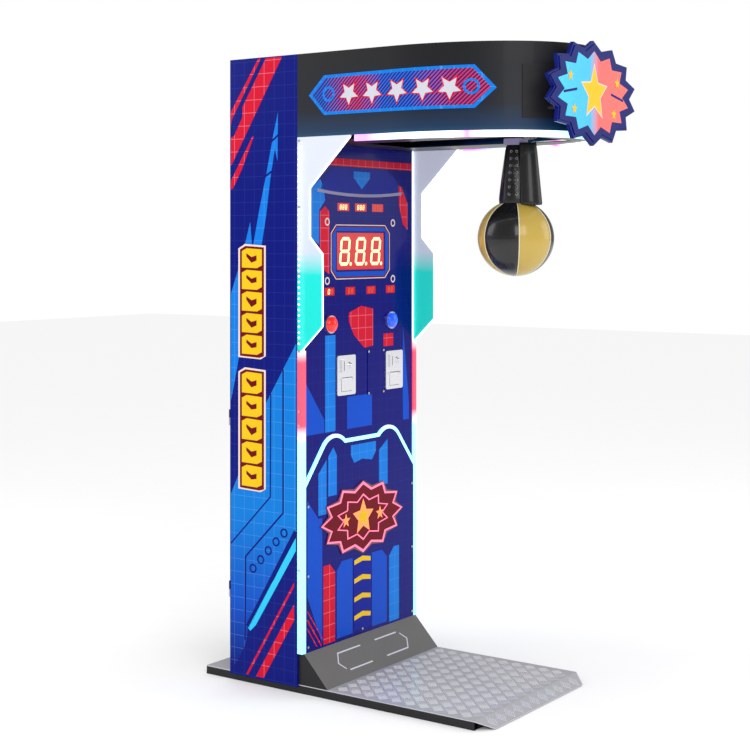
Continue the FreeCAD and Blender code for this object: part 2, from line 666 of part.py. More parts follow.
# ================================================================ push buttons
def button_housings():
    """Ring and threaded barrel of each button, with the switch behind it."""
    at = V(BUTTON_X, 0, BUTTON_LEVEL)
    front = at - V(0, BUTTON_RING_HEIGHT, 0)
    ring = rod(BUTTON_RING_R, front, Y_AXIS, BUTTON_RING_HEIGHT)
    ring = ring.cut(rod(BUTTON_RING_R - BUTTON_RING_WALL, front, Y_AXIS, BUTTON_RING_HEIGHT - BUTTON_BACK))
    barrel = rod(BUTTON_BARREL_R, at, Y_AXIS, BUTTON_BARREL)
    bore = rod(BUTTON_STEM_R + FIT, front, Y_AXIS, BUTTON_RING_HEIGHT + BUTTON_BARREL)
    housing = ring.fuse(barrel).cut(bore).removeSplitter()
    y = BUTTON_BARREL + SEAT
    switch = box(BUTTON_X - 10, BUTTON_X + 10, y, y + 20, BUTTON_LEVEL - 14, BUTTON_LEVEL + 14)
    return Part.makeCompound([housing, mirrored(housing), switch, mirrored(switch)])


def button_cap(side):
    """Domed cap with its stem."""
    radius = BUTTON_RING_R - BUTTON_RING_WALL - 0.5
    at = V(BUTTON_X, -BUTTON_CAP_FOOT, BUTTON_LEVEL)
    skirt = rod(radius, at - V(0, BUTTON_SKIRT, 0), Y_AXIS, BUTTON_SKIRT)
    ball_r = (radius * radius + BUTTON_DOME * BUTTON_DOME) / (2 * BUTTON_DOME)
    dome = Part.makeSphere(ball_r, at + V(0, ball_r - BUTTON_SKIRT - BUTTON_DOME, 0))
    dome = dome.common(rod(radius, at - V(0, BUTTON_SKIRT + BUTTON_DOME, 0), Y_AXIS, BUTTON_DOME))
    stem = rod(BUTTON_STEM_R, at, Y_AXIS, BUTTON_CAP_FOOT + BUTTON_STEM_END)
    cap = skirt.fuse(dome).fuse(stem).removeSplitter()
    return cap if side > 0 else mirrored(cap)


def red_button_cap():
    return button_cap(-1)


def blue_button_cap():
    return button_cap(1)


# ================================================================ coin entries
def return_gap(x, margin, y0, y1):
    half_x = RETURN_SIZE[0] / 2 - margin
    half_z = RETURN_SIZE[1] / 2 - margin
    z = COIN_LEVEL + RETURN_Z
    return box(x - half_x, x + half_x, y0, y1, z - half_z, z + half_z)


def flap_axis(x):
    return V(x, -FLAP_PIN_OUT, COIN_LEVEL + RETURN_Z + RETURN_SIZE[1] / 2 + FLAP_PIN_R)


def coin_plates():
    """Cast plates with a coin slot, a reject-button guide, a return opening and hinge ears."""
    plates = []
    for x in COIN_X:
        plate = box(x - COIN_WIDTH / 2, x + COIN_WIDTH / 2, -COIN_PLATE, 0,
                    COIN_LEVEL - COIN_HEIGHT / 2, COIN_LEVEL + COIN_HEIGHT / 2)
        edges = [e for e in plate.Edges if abs(e.tangentAt(e.FirstParameter).y) > 0.9]
        plate = plate.makeFillet(8.0, edges)
        width, height, rise = COIN_BOSS
        bx = x + COIN_BOSS_X
        bz = COIN_LEVEL + COIN_BOSS_Z
        plate = plate.fuse(box(bx - width / 2, bx + width / 2, -COIN_PLATE - rise, -COIN_PLATE,
                               bz - height / 2, bz + height / 2))
        slot_x, slot_z = COIN_SLOT
        plate = plate.cut(box(bx - slot_x / 2, bx + slot_x / 2, -COIN_PLATE - rise, 0,
                              bz - slot_z / 2, bz + slot_z / 2))
        guide = V(x + REJECT_X, -COIN_PLATE - 3, COIN_LEVEL + REJECT_Z)
        plate = plate.fuse(rod(REJECT_R + 5, guide, Y_AXIS, 3))
        plate = plate.cut(rod(REJECT_R + FIT, guide, Y_AXIS, COIN_PLATE + 3))
        plate = plate.cut(return_gap(x, 0, -COIN_PLATE, 0))
        axis = flap_axis(x)
        pin_x = RETURN_SIZE[0] / 2 + 3
        for s in (-1, 1):
            ear = box(x + s * pin_x - 2, x + s * pin_x + 2, -COIN_PLATE - 4, -COIN_PLATE, axis.z - 4, axis.z + 4)
            plate = plate.fuse(ear)
        plate = plate.fuse(rod(FLAP_PIN_R, axis - V(pin_x, 0, 0), X_AXIS, 2 * pin_x))
        relief = box(x - RETURN_SIZE[0] / 2, x + RETURN_SIZE[0] / 2, -COIN_PLATE, 0, axis.z - 6, axis.z + 4.5)
        relief = relief.cut(rod(FLAP_PIN_R, axis - V(pin_x, 0, 0), X_AXIS, 2 * pin_x))
        plates.append(plate.cut(relief).removeSplitter())
    return Part.makeCompound(plates)


def return_flap(x):
    axis = flap_axis(x)
    half = RETURN_SIZE[0] / 2 - 1
    outer = FLAP_PIN_R + 1.7
    tube = rod(outer, axis - V(half, 0, 0), X_AXIS, 2 * half)
    plate = box(x - half, x + half, axis.y - FLAP_THICK / 2, axis.y + FLAP_THICK / 2,
                COIN_LEVEL + RETURN_Z - RETURN_SIZE[1] / 2 + 1.5, axis.z)
    flap = tube.fuse(plate).cut(rod(FLAP_PIN_R + FIT, axis - V(half, 0, 0), X_AXIS, 2 * half))
    return flap.removeSplitter()


def return_flap_left():
    return return_flap(COIN_X[0])


def return_flap_right():
    return return_flap(COIN_X[1])


def reject_button(x):
    start = V(x + REJECT_X, -COIN_PLATE - REJECT_PROUD, COIN_LEVEL + REJECT_Z)
    return rod(REJECT_R, start, Y_AXIS, REJECT_PROUD + COIN_PLATE + REJECT_TAIL)


def reject_button_left():
    return reject_button(COIN_X[0])


def reject_button_right():
    return reject_button(COIN_X[1])


def coin_mechs():
    """Coin mechanism body above a return cup, one behind each plate."""
    mechs = []
    edge = COIN_HOLE_EDGE + SEAT
    for x in COIN_X:
        top = COIN_LEVEL + COIN_HEIGHT / 2 - edge
        half = COIN_WIDTH / 2 - edge
        body = box(x - half, x + half, SEAT, MECH_DEPTH, COIN_LEVEL + MECH_BOTTOM, top)
        tail = rod(REJECT_R + 2, V(x + REJECT_X, SEAT, COIN_LEVEL + REJECT_Z), Y_AXIS, REJECT_TAIL + 8)
        chute = box(x + COIN_BOSS_X - 2.5, x + COIN_BOSS_X + 2.5, SEAT, MECH_DEPTH - 6,
                    COIN_LEVEL + MECH_BOTTOM, COIN_LEVEL + COIN_BOSS_Z + 20)
        cup = return_gap(x, -CUP_WALL, SEAT, CUP_DEPTH).cut(return_gap(x, 0, SEAT, CUP_DEPTH - CUP_WALL))
        neck = box(x - 20, x + 20, 20, MECH_DEPTH, COIN_LEVEL + RETURN_Z + RETURN_SIZE[1] / 2 + CUP_WALL,
                   COIN_LEVEL + MECH_BOTTOM)
        mechs.append(body.cut(tail).cut(chute).fuse(neck).fuse(cup).removeSplitter())
    return Part.makeCompound(mechs)


def blanking_plate():
    half_x = BLANK_SIZE[0] / 2
    half_z = BLANK_SIZE[1] / 2
    plate = box(BLANK_X - half_x, BLANK_X + half_x, -BLANK_THICK, 0, COIN_LEVEL - half_z, COIN_LEVEL + half_z)
    for x, z in blank_screw_places():
        plate = plate.cut(rod(SCREW_R + FIT, V(x, -BLANK_THICK, z), Y_AXIS, BLANK_THICK))
    return plate


# ================================================================ header
def header_frame():
    inner = BEAM_OUT - BEAM
    beam = square_tube(inner, BEAM_OUT, -BEAM_FRONT, UPRIGHT_REAR + TUBE, BEAM_BOTTOM, BEAM_TOP)
    bars = [beam, mirrored(beam)]
    for y in (PIVOT_Y - CROSS_GAP, PIVOT_Y + CROSS_GAP, -BUFFER_RAIL):
        bars.append(square_tube(-inner, inner, y - TUBE / 2, y + TUBE / 2, BEAM_BOTTOM, BEAM_BOTTOM + TUBE))
    return Part.makeCompound(bars)


def header_shell():
    outside = header_plan(0, HEADER_BOTTOM, HEIGHT, CORNER_REAR - SEAT)
    return outside.cut(header_plan(SHELL, HEADER_BOTTOM - 1, HEIGHT + 1, BACK_Y))


def well_limits():
    half = BALL_R + WELL_CLEAR
    rear = PIVOT_Y + ARM_LENGTH + BALL_R + WELL_CLEAR
    front = PIVOT_Y - PAD_BOTTOM_FRONT - 2 * WELL_CLEAR
    return half, front, rear


def header_soffit():
    inset = LED_BAND_INSET + LED_BAND_WIDTH + SEAT
    plate = header_plan(inset, SOFFIT_BOTTOM + SEAT, SOFFIT_TOP, CORNER_REAR)
    half, front, rear = well_limits()
    plate = plate.cut(box(-half, half, front, rear, SOFFIT_BOTTOM, SOFFIT_TOP))
    for s in (1, -1):
        for k in range(7):
            turn = math.radians(60.0 * k)
            reach = 0.0 if k == 6 else SPEAKER_R / 2
            x = s * (HALF - SPEAKER_EDGE) + reach * math.cos(turn)
            y = -SPEAKER_Y + reach * math.sin(turn)
            plate = plate.cut(rod(6.0, V(x, y, SOFFIT_BOTTOM), Z_AXIS, SHEET))
    return plate


def header_light_band():
    top = HEADER_BOTTOM - SEAT
    outside = header_plan(LED_BAND_INSET, BAND_BOTTOM, top, BACK_Y)
    inside = header_plan(LED_BAND_INSET + LED_BAND_WIDTH, BAND_BOTTOM - 1, top + 1, BACK_Y + 1)
    front = box(-OUTER, OUTER, -2 * (NOSE_START + NOSE_LENGTH), -LED_BAND_REAR, BAND_BOTTOM - 1, top + 1)
    return outside.cut(inside).common(front)


def speakers():
    at = V(HALF - SPEAKER_EDGE, -SPEAKER_Y, SOFFIT_TOP + SEAT)
    basket = Part.makeCone(SPEAKER_R, SPEAKER_R / 2, SPEAKER_DEPTH / 2, at)
    magnet = rod(SPEAKER_R / 2, at + V(0, 0, SPEAKER_DEPTH / 2), Z_AXIS, SPEAKER_DEPTH / 2)
    return pair(basket.fuse(magnet).removeSplitter())


# ================================================================ sign
def sign_middle():
    return HEIGHT - SIGN_DROP


def sign_bracket():
    """Plate bent round the nose, with four posts that carry the sign."""
    low = sign_middle() - SIGN_PLATE_HEIGHT / 2
    high = sign_middle() + SIGN_PLATE_HEIGHT / 2
    wrap = header_plan(-SHEET, low, high, 0).cut(header_plan(-FIT, low - 1, high + 1, 1))
    limit = box(-SIGN_PLATE_HALF, SIGN_PLATE_HALF, -SIGN_FRONT, -NOSE_START - NOSE_LENGTH / 2, low, high)
    plate = wrap.common(limit)
    back = -SIGN_FRONT + SIGN_THICK + SIGN_FACE
    depth = NOSE_LENGTH / 3
    for sx in (1, -1):
        for sz in (1, -1):
            post = rod(POST_R, V(sx * POST_X, back, sign_middle() + sz * POST_Z), Y_AXIS, depth)
            plate = plate.fuse(post.cut(header_plan(-SHEET / 2, low - 1, high + 1, 1)))
    return plate.removeSplitter()


def sign_body():
    front = -SIGN_FRONT + SIGN_FACE
    return burst(SIGN_HALF_WIDTH, SIGN_HALF_HEIGHT, SIGN_POINTS, SIGN_NOTCH, sign_middle(), front, front + SIGN_THICK)


def sign_face():
    wide = SIGN_HALF_WIDTH - SIGN_BORDER
    high = SIGN_HALF_HEIGHT - SIGN_BORDER
    front = -SIGN_FRONT
    return burst(wide, high, SIGN_POINTS, SIGN_NOTCH, sign_middle(), front, front + SIGN_FACE)


# ================================================================ swinging arm
def bearing_blocks():
    """Plates hung from the cross beams, bored for the shaft."""
    half = BEARING_LENGTH / 2
    x0, x1 = BEARING_IN, BEARING_IN + BEARING_THICK
    top = [(PIVOT_Y - half, BEAM_BOTTOM), (PIVOT_Y + half, BEAM_BOTTOM)]
    waist = [(PIVOT_Y + BEARING_BOSS, PIVOT_Z), (PIVOT_Y - BEARING_BOSS, PIVOT_Z)]
    plate = prism_x(top + waist, x0, x1)
    plate = plate.fuse(rod(BEARING_BOSS, V(x0, PIVOT_Y, PIVOT_Z), X_AXIS, BEARING_THICK))
    plate = plate.cut(rod(SHAFT_R + FIT, V(x0, PIVOT_Y, PIVOT_Z), X_AXIS, BEARING_THICK))
    return pair(plate.removeSplitter())


def pivot_shaft():
    left = BEARING_IN + BEARING_THICK + 8.0
    right = DISC_X + DISC_THICK + 6.0
    return rod(SHAFT_R, V(-left, PIVOT_Y, PIVOT_Z), X_AXIS, left + right)


def swing_arm():
    """Hub, arm tube and the latch lug on the hub."""
    hub = rod(HUB_R, V(-HUB_HALF, PIVOT_Y, PIVOT_Z), X_AXIS, 2 * HUB_HALF)
    foot = BALL_Z + BALL_R - ARM_IN_BALL
    arm = rod(ARM_R, V(0, PIVOT_Y, foot), Z_AXIS, PIVOT_Z - foot)
    half = HOOK_WIDTH / 2
    lug = box(HOOK_X - half, HOOK_X + half, PIVOT_Y - LUG_HALF, PIVOT_Y + LUG_HALF, PIVOT_Z, PIVOT_Z + LUG_TIP)
    bore = rod(SHAFT_R + FIT, V(-HUB_HALF, PIVOT_Y, PIVOT_Z), X_AXIS, 2 * HUB_HALF)
    return hub.fuse(arm).fuse(lug).cut(bore).removeSplitter()


def neck_collar():
    top = PIVOT_Z - COLLAR_TOP
    block = box(-COLLAR_HALF, COLLAR_HALF, PIVOT_Y - COLLAR_HALF, PIVOT_Y + COLLAR_HALF, top - COLLAR_HEIGHT, top)
    return block.cut(rod(ARM_R + FIT, V(0, PIVOT_Y, top - COLLAR_HEIGHT), Z_AXIS, COLLAR_HEIGHT))


def neck_cone(grow, low, high):
    """Neck skirt's outer form, grown and run between two levels."""
    top = PIVOT_Z - COLLAR_TOP - COLLAR_HEIGHT
    foot = BALL_Z + BALL_R - NECK_DROP
    slope = (NECK_BOTTOM_R - NECK_TOP_R) / (top - foot)
    wide = NECK_BOTTOM_R + grow + slope * (foot - low)
    narrow = NECK_BOTTOM_R + grow - slope * (high - foot)
    return Part.makeCone(wide, narrow, high - low, V(0, PIVOT_Y, low))


def neck_skirt():
    top = PIVOT_Z - COLLAR_TOP - COLLAR_HEIGHT - SEAT
    foot = BALL_Z + BALL_R - NECK_DROP
    skirt = neck_cone(0, foot, top)
    skirt = skirt.cut(Part.makeSphere(BALL_R + SEAT, V(0, PIVOT_Y, BALL_Z)))
    return skirt.cut(rod(ARM_R + SEAT, V(0, PIVOT_Y, foot), Z_AXIS, top - foot))


def ball():
    sphere = Part.makeSphere(BALL_R, V(0, PIVOT_Y, BALL_Z))
    depth = BALL_R - ARM_IN_BALL
    return sphere.cut(rod(ARM_R + SEAT, V(0, PIVOT_Y, BALL_Z + depth - SEAT), Z_AXIS, BALL_R))


def pad_section(radius, front, z):
    """Half-pipe section, open towards the neck."""
    y = PIVOT_Y - front + radius
    left, right = V(-radius, y, z), V(radius, y, z)
    outer = Part.Arc(left, V(0, y - radius, z), right).toShape()
    inner_r = radius - PAD_WALL
    inner_l, inner_r_end = V(-inner_r, y, z), V(inner_r, y, z)
    inner = Part.Arc(inner_r_end, V(0, y - inner_r, z), inner_l).toShape()
    return Part.Wire([outer, Part.makeLine(right, inner_r_end), inner, Part.makeLine(inner_l, left)])


def arm_pad():
    """Half-pipe guard on the player's side of the neck."""
    low = BALL_Z + BALL_R - WELL_CLEAR
    high = PIVOT_Z - COLLAR_TOP - COLLAR_HEIGHT + 8.0
    pad = Part.makeLoft([pad_section(PAD_BOTTOM_R, PAD_BOTTOM_FRONT, low),
                         pad_section(PAD_TOP_R, PAD_TOP_FRONT, high)], True)
    pad = pad.cut(neck_cone(PAD_CLEAR, low - 1, high + 1))
    grown = COLLAR_HALF + PAD_CLEAR
    pad = pad.cut(box(-grown, grown, PIVOT_Y - grown, PIVOT_Y + grown, high - 2 * COLLAR_HEIGHT, high + 1))
    pad = pad.cut(Part.makeSphere(BALL_R + PAD_CLEAR, V(0, PIVOT_Y, BALL_Z)))
    return max(pad.Solids, key=lambda solid: solid.Volume)


def speed_disc():
    start = V(DISC_X, PIVOT_Y, PIVOT_Z)
    disc = rod(DISC_R, start, X_AXIS, DISC_THICK).cut(rod(SHAFT_R + FIT, start, X_AXIS, DISC_THICK))
    notch = box(DISC_X, DISC_X + DISC_THICK, PIVOT_Y - 1.5, PIVOT_Y + 1.5, PIVOT_Z + DISC_R - 8, PIVOT_Z + DISC_R + 1)
    for k in range(DISC_SLOTS):
        turned = notch.copy()
        turned.rotate(V(0, PIVOT_Y, PIVOT_Z), X_AXIS, 360.0 * k / DISC_SLOTS)
        disc = disc.cut(turned)
    return disc


def speed_sensor():
    """Optical fork under the cross beam, astride the disc's rim."""
    y = PIVOT_Y + CROSS_GAP - 5
    low = PIVOT_Z + DISC_R / 2
    outer = box(DISC_X - 8, DISC_X + DISC_THICK + 8, y - 9, y + 9, low, BEAM_BOTTOM)
    gap = box(DISC_X - FORK_GAP, DISC_X + DISC_THICK + FORK_GAP, y - 9, y + 9, low, PIVOT_Z + DISC_R + FORK_GAP)
    return outer.cut(gap)


def latch_bracket():
    """Side plate with the hook's pin welded in, carrying hook and solenoid."""
    x0 = HOOK_X + SOLENOID_HALF + SEAT
    rear = PIVOT_Y - CROSS_GAP - TUBE / 2
    front = HOOK_PIN_Y - PLUNGER_OUT - SOLENOID_LENGTH - 20.0
    low = HOOK_PIN_Z - 14.0
    plate = box(x0, x0 + BRACKET, front, rear, low, BEAM_BOTTOM + TUBE)
    flange = box(x0, x0 + TUBE, rear - BRACKET, rear, BEAM_BOTTOM, BEAM_BOTTOM + TUBE)
    left = HOOK_X - HOOK_WIDTH / 2 - 4.0
    pin = rod(HOOK_PIN_R, V(left, HOOK_PIN_Y, HOOK_PIN_Z), X_AXIS, x0 - left)
    return plate.fuse(flange).fuse(pin).removeSplitter()


def latch_hook():
    """Stored open; it closes over the lug when the ball is up."""
    nose = V(0, PIVOT_Y - HOOK_NOSE_FRONT, PIVOT_Z + HOOK_NOSE_RISE)
    pin = V(0, HOOK_PIN_Y, HOOK_PIN_Z)
    along = nose - pin
    along.normalize()
    side = V(0, -along.z, along.y) * HOOK_BAR
    corners = [pin + side, nose + side, nose - side, pin - side]
    x0 = HOOK_X - HOOK_WIDTH / 2
    hook = prism_x([(c.y, c.z) for c in corners], x0, x0 + HOOK_WIDTH)
    hook = hook.fuse(rod(HOOK_BAR, V(x0, nose.y, nose.z), X_AXIS, HOOK_WIDTH))
    hook = hook.fuse(rod(2 * HOOK_BAR, V(x0, pin.y, pin.z), X_AXIS, HOOK_WIDTH))
    hook.rotate(pin, X_AXIS, -HOOK_OPEN_DEG)
    tail = box(x0, x0 + HOOK_WIDTH, pin.y - HOOK_BAR + 1, pin.y + HOOK_BAR - 1, pin.z, pin.z + HOOK_TAIL + 4)
    hook = hook.fuse(tail)
    return hook.cut(rod(HOOK_PIN_R + FIT, V(x0, pin.y, pin.z), X_AXIS, HOOK_WIDTH)).removeSplitter()


def solenoid_body():
    rear = HOOK_PIN_Y - PLUNGER_OUT
    z = HOOK_PIN_Z + HOOK_TAIL
    half = SOLENOID_HALF
    body = box(HOOK_X - half, HOOK_X + half, rear - SOLENOID_LENGTH, rear, z - half, z + half)
    return body.cut(rod(PLUNGER_R + FIT, V(HOOK_X, rear - SOLENOID_LENGTH + 3, z), Y_AXIS, SOLENOID_LENGTH))


def solenoid_plunger():
    tip = HOOK_PIN_Y - HOOK_BAR + 1 - PLUNGER_GAP
    start = HOOK_PIN_Y - PLUNGER_OUT - SOLENOID_LENGTH / 2
    return rod(PLUNGER_R, V(HOOK_X, start, HOOK_PIN_Z + HOOK_TAIL), Y_AXIS, tip - start)


def arm_buffer():
    """Rubber stop that the neck meets when the ball is up."""
    reach = -BUFFER_RAIL + TUBE / 2 - PIVOT_Y
    neck_top = COLLAR_TOP + COLLAR_HEIGHT
    neck_foot = ARM_LENGTH - BALL_R + NECK_DROP
    share = (reach - neck_top) / (neck_foot - neck_top)
    radius = NECK_TOP_R + share * (NECK_BOTTOM_R - NECK_TOP_R)
    low = PIVOT_Z + radius + 1.0
    y = -BUFFER_RAIL
    block = box(-BUFFER_HALF, BUFFER_HALF, y - TUBE / 2, y + TUBE / 2, low, BEAM_BOTTOM)
    return block


NODES = (
    base_rails, deck_plate, kick_plate, kick_end_plates, cabinet_frame, side_panel_left, side_panel_right,
    top_panel, back_panels, back_door, door_hinge_pins, door_lock_barrel, door_lock_cam, service_shelf,
    cash_box, main_board, power_supply, power_inlet, power_rocker, upper_front_panel, lower_front_panel,
    neon_strip, front_emblem, corner_diffusers, side_wings, panel_fasteners, display_filters,
    display_boards, button_housings, red_button_cap, blue_button_cap, coin_plates,
    return_flap_left, return_flap_right, reject_button_left, reject_button_right, coin_mechs,
    blanking_plate, header_frame, header_shell, header_soffit, header_light_band, speakers, sign_bracket,
    sign_body, sign_face, bearing_blocks, pivot_shaft, swing_arm, neck_collar, neck_skirt, arm_pad, ball,
    speed_disc, speed_sensor, latch_bracket, latch_hook, solenoid_body, solenoid_plunger, arm_buffer,
)

os.makedirs("parts", exist_ok=True)
for node in NODES:
    shape = node()
    if not shape.isValid():
        raise ValueError(node.__name__ + " is not a valid solid")
    shape.exportStep("parts/" + node.__name__ + ".step")
print(len(NODES), "nodes written")
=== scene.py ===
import bpy
import math
from mathutils import Matrix, Vector


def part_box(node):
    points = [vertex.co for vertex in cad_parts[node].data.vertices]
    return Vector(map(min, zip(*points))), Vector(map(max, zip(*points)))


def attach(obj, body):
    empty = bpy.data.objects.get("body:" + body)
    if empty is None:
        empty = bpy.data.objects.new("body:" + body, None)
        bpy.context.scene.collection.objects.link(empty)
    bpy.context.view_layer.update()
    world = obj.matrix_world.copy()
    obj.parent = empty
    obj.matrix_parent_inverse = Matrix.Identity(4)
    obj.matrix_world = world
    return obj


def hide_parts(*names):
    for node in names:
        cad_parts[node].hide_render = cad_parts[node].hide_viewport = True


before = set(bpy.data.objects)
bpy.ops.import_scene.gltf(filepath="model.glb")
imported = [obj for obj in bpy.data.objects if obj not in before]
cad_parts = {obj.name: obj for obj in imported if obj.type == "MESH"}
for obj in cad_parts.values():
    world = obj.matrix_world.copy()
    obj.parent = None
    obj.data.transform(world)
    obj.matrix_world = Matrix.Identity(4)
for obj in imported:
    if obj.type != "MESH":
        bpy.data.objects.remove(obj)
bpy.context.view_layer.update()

bl_info = {
    "name": "Boxing Punch Machine",
    "version": (1, 0, 0),
    "blender": (4, 5, 0),
    "location": "View3D > Sidebar > Punch Machine",
    "description": "Builds the artwork, lights, leather ball and finishes of a boxing punch machine",
    "category": "Object",
}

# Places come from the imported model: metres, +Z up, front facing -Y, x = 0 the middle.
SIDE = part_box("side_panel_right")
SKIN_X = SIDE[1][0]                      # outer face of the side panels
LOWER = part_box("lower_front_panel")
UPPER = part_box("upper_front_panel")
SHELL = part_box("header_shell")
DECK_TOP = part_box("deck_plate")[1][2]
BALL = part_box("ball")
BALL_R = 0.13
BALL_MIDDLE = Vector(((BALL[0][0] + BALL[1][0]) / 2, (BALL[0][1] + BALL[1][1]) / 2, BALL[0][2] + BALL_R))
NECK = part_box("neck_skirt")
NECK_FOOT_R, NECK_TOP_R = 0.060, 0.035
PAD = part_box("arm_pad")
NOSE_START = 0.379                       # header's straight sides end here, in front of the panel
NOSE_LENGTH = -SHELL[0][1] - NOSE_START
FILM = 0.0004                            # printed film and the step between its layers
WRAP_STEP = 0.026                        # cuts that let a drawing bend round the nose
COLUMNS = ((1.155, 1.535), (0.69, 1.10))  # foot and top of the two columns of yellow blocks
BLOCKS = 5                               # yellow blocks in each column
TREAD_PITCH = 0.0275
LAMPS, LAMP_PITCH = 36, 0.0192           # lamps up each wing
GORE = math.pi / 3                       # the ball is sewn from six gores
SEAM_TURN = math.radians(215.3)
PIPING_R = 0.0019
LACE_R = 0.0012
LEATHER = 0.0012                         # how far the leather lies inside its solid's face


# ---------------------------------------------------------------- settings
class PunchMachineColours(bpy.types.PropertyGroup):
    """Colours of the printed artwork."""
    navy: bpy.props.FloatVectorProperty(name="Navy", description="Ground of the side panels",
                                        subtype="COLOR", default=(0.002, 0.007, 0.19))
    blue: bpy.props.FloatVectorProperty(name="Blue", description="Large light field",
                                        subtype="COLOR", default=(0.003, 0.20, 0.68))
    sky: bpy.props.FloatVectorProperty(name="Sky", description="Shards and bright stripe",
                                       subtype="COLOR", default=(0.004, 0.20, 0.75))
    crimson: bpy.props.FloatVectorProperty(name="Crimson", description="Diagonal bands",
                                           subtype="COLOR", default=(0.66, 0.004, 0.03))
    yellow: bpy.props.FloatVectorProperty(name="Yellow", description="Power blocks and chevrons",
                                          subtype="COLOR", default=(0.86, 0.55, 0.01))


class PunchMachineLights(bpy.types.PropertyGroup):
    """Strengths of the lit parts."""
    tube: bpy.props.FloatProperty(name="Tubes", description="Emission of the light tubes",
                                  default=6.0, min=0.0)
    wing: bpy.props.FloatProperty(name="Wings", description="Emission of the frosted wings",
                                  default=1.0, min=0.0)
    digit: bpy.props.FloatProperty(name="Digits", description="Emission of the digits",
                                   default=3.0, min=0.0)


# ---------------------------------------------------------------- modelling helpers
def clear_selection():
    """Leaves nothing selected."""
    bpy.ops.object.select_all(action="DESELECT")


def take(obj):
    """Makes one object the selected and active one."""
    clear_selection()
    obj.select_set(True)
    bpy.context.view_layer.objects.active = obj
    return obj


def apply_all(obj):
    """Puts an object's place, turn and scale into its mesh."""
    take(obj)
    bpy.ops.object.transform_apply(location=True, rotation=True, scale=True)
    return obj


def apply_modifiers(obj):
    """Applies every modifier, in order."""
    take(obj)
    for modifier in list(obj.modifiers):
        bpy.ops.object.modifier_apply(modifier=modifier.name)
    return obj


def finish_piece(obj, name, material, body="cabinet", smooth=None):
    """Names a piece, gives it its finish, and rides it on its body."""
    obj.name = name
    obj.data.name = name
    if material is not None:
        obj.data.materials.clear()
        obj.data.materials.append(material)
    if smooth is not None:
        take(obj)
        bpy.ops.object.shade_smooth_by_angle(angle=math.radians(smooth))
    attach(obj, body)
    return obj


def block(low, high, bevel=0.0, segments=2):
    """A primitive cube brought to two corners, with bevelled edges."""
    clear_selection()
    middle = [(a + b) / 2 for a, b in zip(low, high)]
    bpy.ops.mesh.primitive_cube_add(size=1.0, location=middle)
    obj = bpy.context.object
    obj.scale = [b - a for a, b in zip(low, high)]
    apply_all(obj)
    if bevel:
        edge = obj.modifiers.new("Bevel", "BEVEL")
        edge.width = bevel
        edge.segments = segments
        apply_modifiers(obj)
    return obj


def join(objects):
    """Joins objects into the first of them."""
    clear_selection()
    for obj in objects:
        obj.select_set(True)
    bpy.context.view_layer.objects.active = objects[0]
    bpy.ops.object.join()
    return bpy.context.object


def drawing(outlines, thick=FILM):
    """Filled flat outlines as one mesh in the XY plane, up to thick high. Nested outlines are holes."""
    curve = bpy.data.curves.new("drawing", "CURVE")
    curve.dimensions = "2D"
    curve.fill_mode = "BOTH"
    curve.extrude = thick / 2
    for points in outlines:
        spline = curve.splines.new("POLY")
        spline.points.add(len(points) - 1)
        for point, (u, v) in zip(spline.points, points):
            point.co = (u, v, 0.0, 1.0)
        spline.use_cyclic_u = True
    obj = bpy.data.objects.new("drawing", curve)
    bpy.context.scene.collection.objects.link(obj)
    take(obj)
    bpy.ops.object.convert(target="MESH")
    obj = bpy.context.object
    bpy.ops.object.mode_set(mode="EDIT")
    bpy.ops.mesh.select_all(action="SELECT")
    bpy.ops.mesh.remove_doubles(threshold=0.000001)
    bpy.ops.mesh.normals_make_consistent(inside=False)
    bpy.ops.object.mode_set(mode="OBJECT")
    obj.data.transform(Matrix.Translation((0, 0, thick / 2)))
    return obj


def on_front(outlines, y, layer=0, thick=FILM):
    """Outlines in (x, z) laid on a plane that faces -Y."""
    obj = drawing(outlines, thick)
    obj.data.transform(Matrix.Translation((0, y - layer * FILM, 0)) @ Matrix.Rotation(math.pi / 2, 4, "X"))
    return obj


def on_side(outlines, layer=0, side=-1, thick=FILM):
    """Outlines in (y, z) laid on the outside of a side panel; side is -1 for the left, 1 for the right."""
    flat = [[(side * y, z) for y, z in points] for points in outlines]
    obj = drawing(flat, thick)
    turn = Matrix.Rotation(side * math.pi / 2, 4, "Z") @ Matrix.Rotation(math.pi / 2, 4, "X")
    obj.data.transform(Matrix.Translation((side * (SKIN_X + layer * FILM), 0, 0)) @ turn)
    return obj


def header_x(y):
    """Half width of the header's shell at y."""
    ahead = max(0.0, -y - NOSE_START)
    return SKIN_X * math.sqrt(max(0.0, 1.0 - (ahead / NOSE_LENGTH) ** 2))


def wrap_on_header(obj, side):
    """Bends a drawing that lies in the side's plane round the header's nose."""
    take(obj)
    bpy.ops.object.mode_set(mode="EDIT")
    for k in range(14):
        bpy.ops.mesh.select_all(action="SELECT")
        bpy.ops.mesh.bisect(plane_co=(0, -NOSE_START - WRAP_STEP * k, 0), plane_no=(0, 1, 0))
    bpy.ops.object.mode_set(mode="OBJECT")
    for vertex in obj.data.vertices:
        vertex.co.x -= side * (SKIN_X - header_x(vertex.co.y))
    return obj


def ring(u, v, outer, inner, steps=32):
    """The two circles of a flat ring."""
    turns = [2 * math.pi * k / steps for k in range(steps)]
    big = [(u + outer * math.cos(t), v + outer * math.sin(t)) for t in turns]
    small = [(u + inner * math.cos(t), v + inner * math.sin(t)) for t in turns]
    return [big, small]


def star(u, v, outer, inner=0.45, turn=-90.0, points=5):
    """A star's outline; inner is a share of outer."""
    shape = []
    for k in range(2 * points):
        reach = outer if k % 2 == 0 else outer * inner
        angle = math.radians(turn + 180.0 * k / points)
        shape.append((u + reach * math.cos(angle), v + reach * math.sin(angle)))
    return shape


def rectangle(u0, u1, v0, v1):
    """A plain rectangle's outline."""
    return [(u0, v0), (u1, v0), (u1, v1), (u0, v1)]


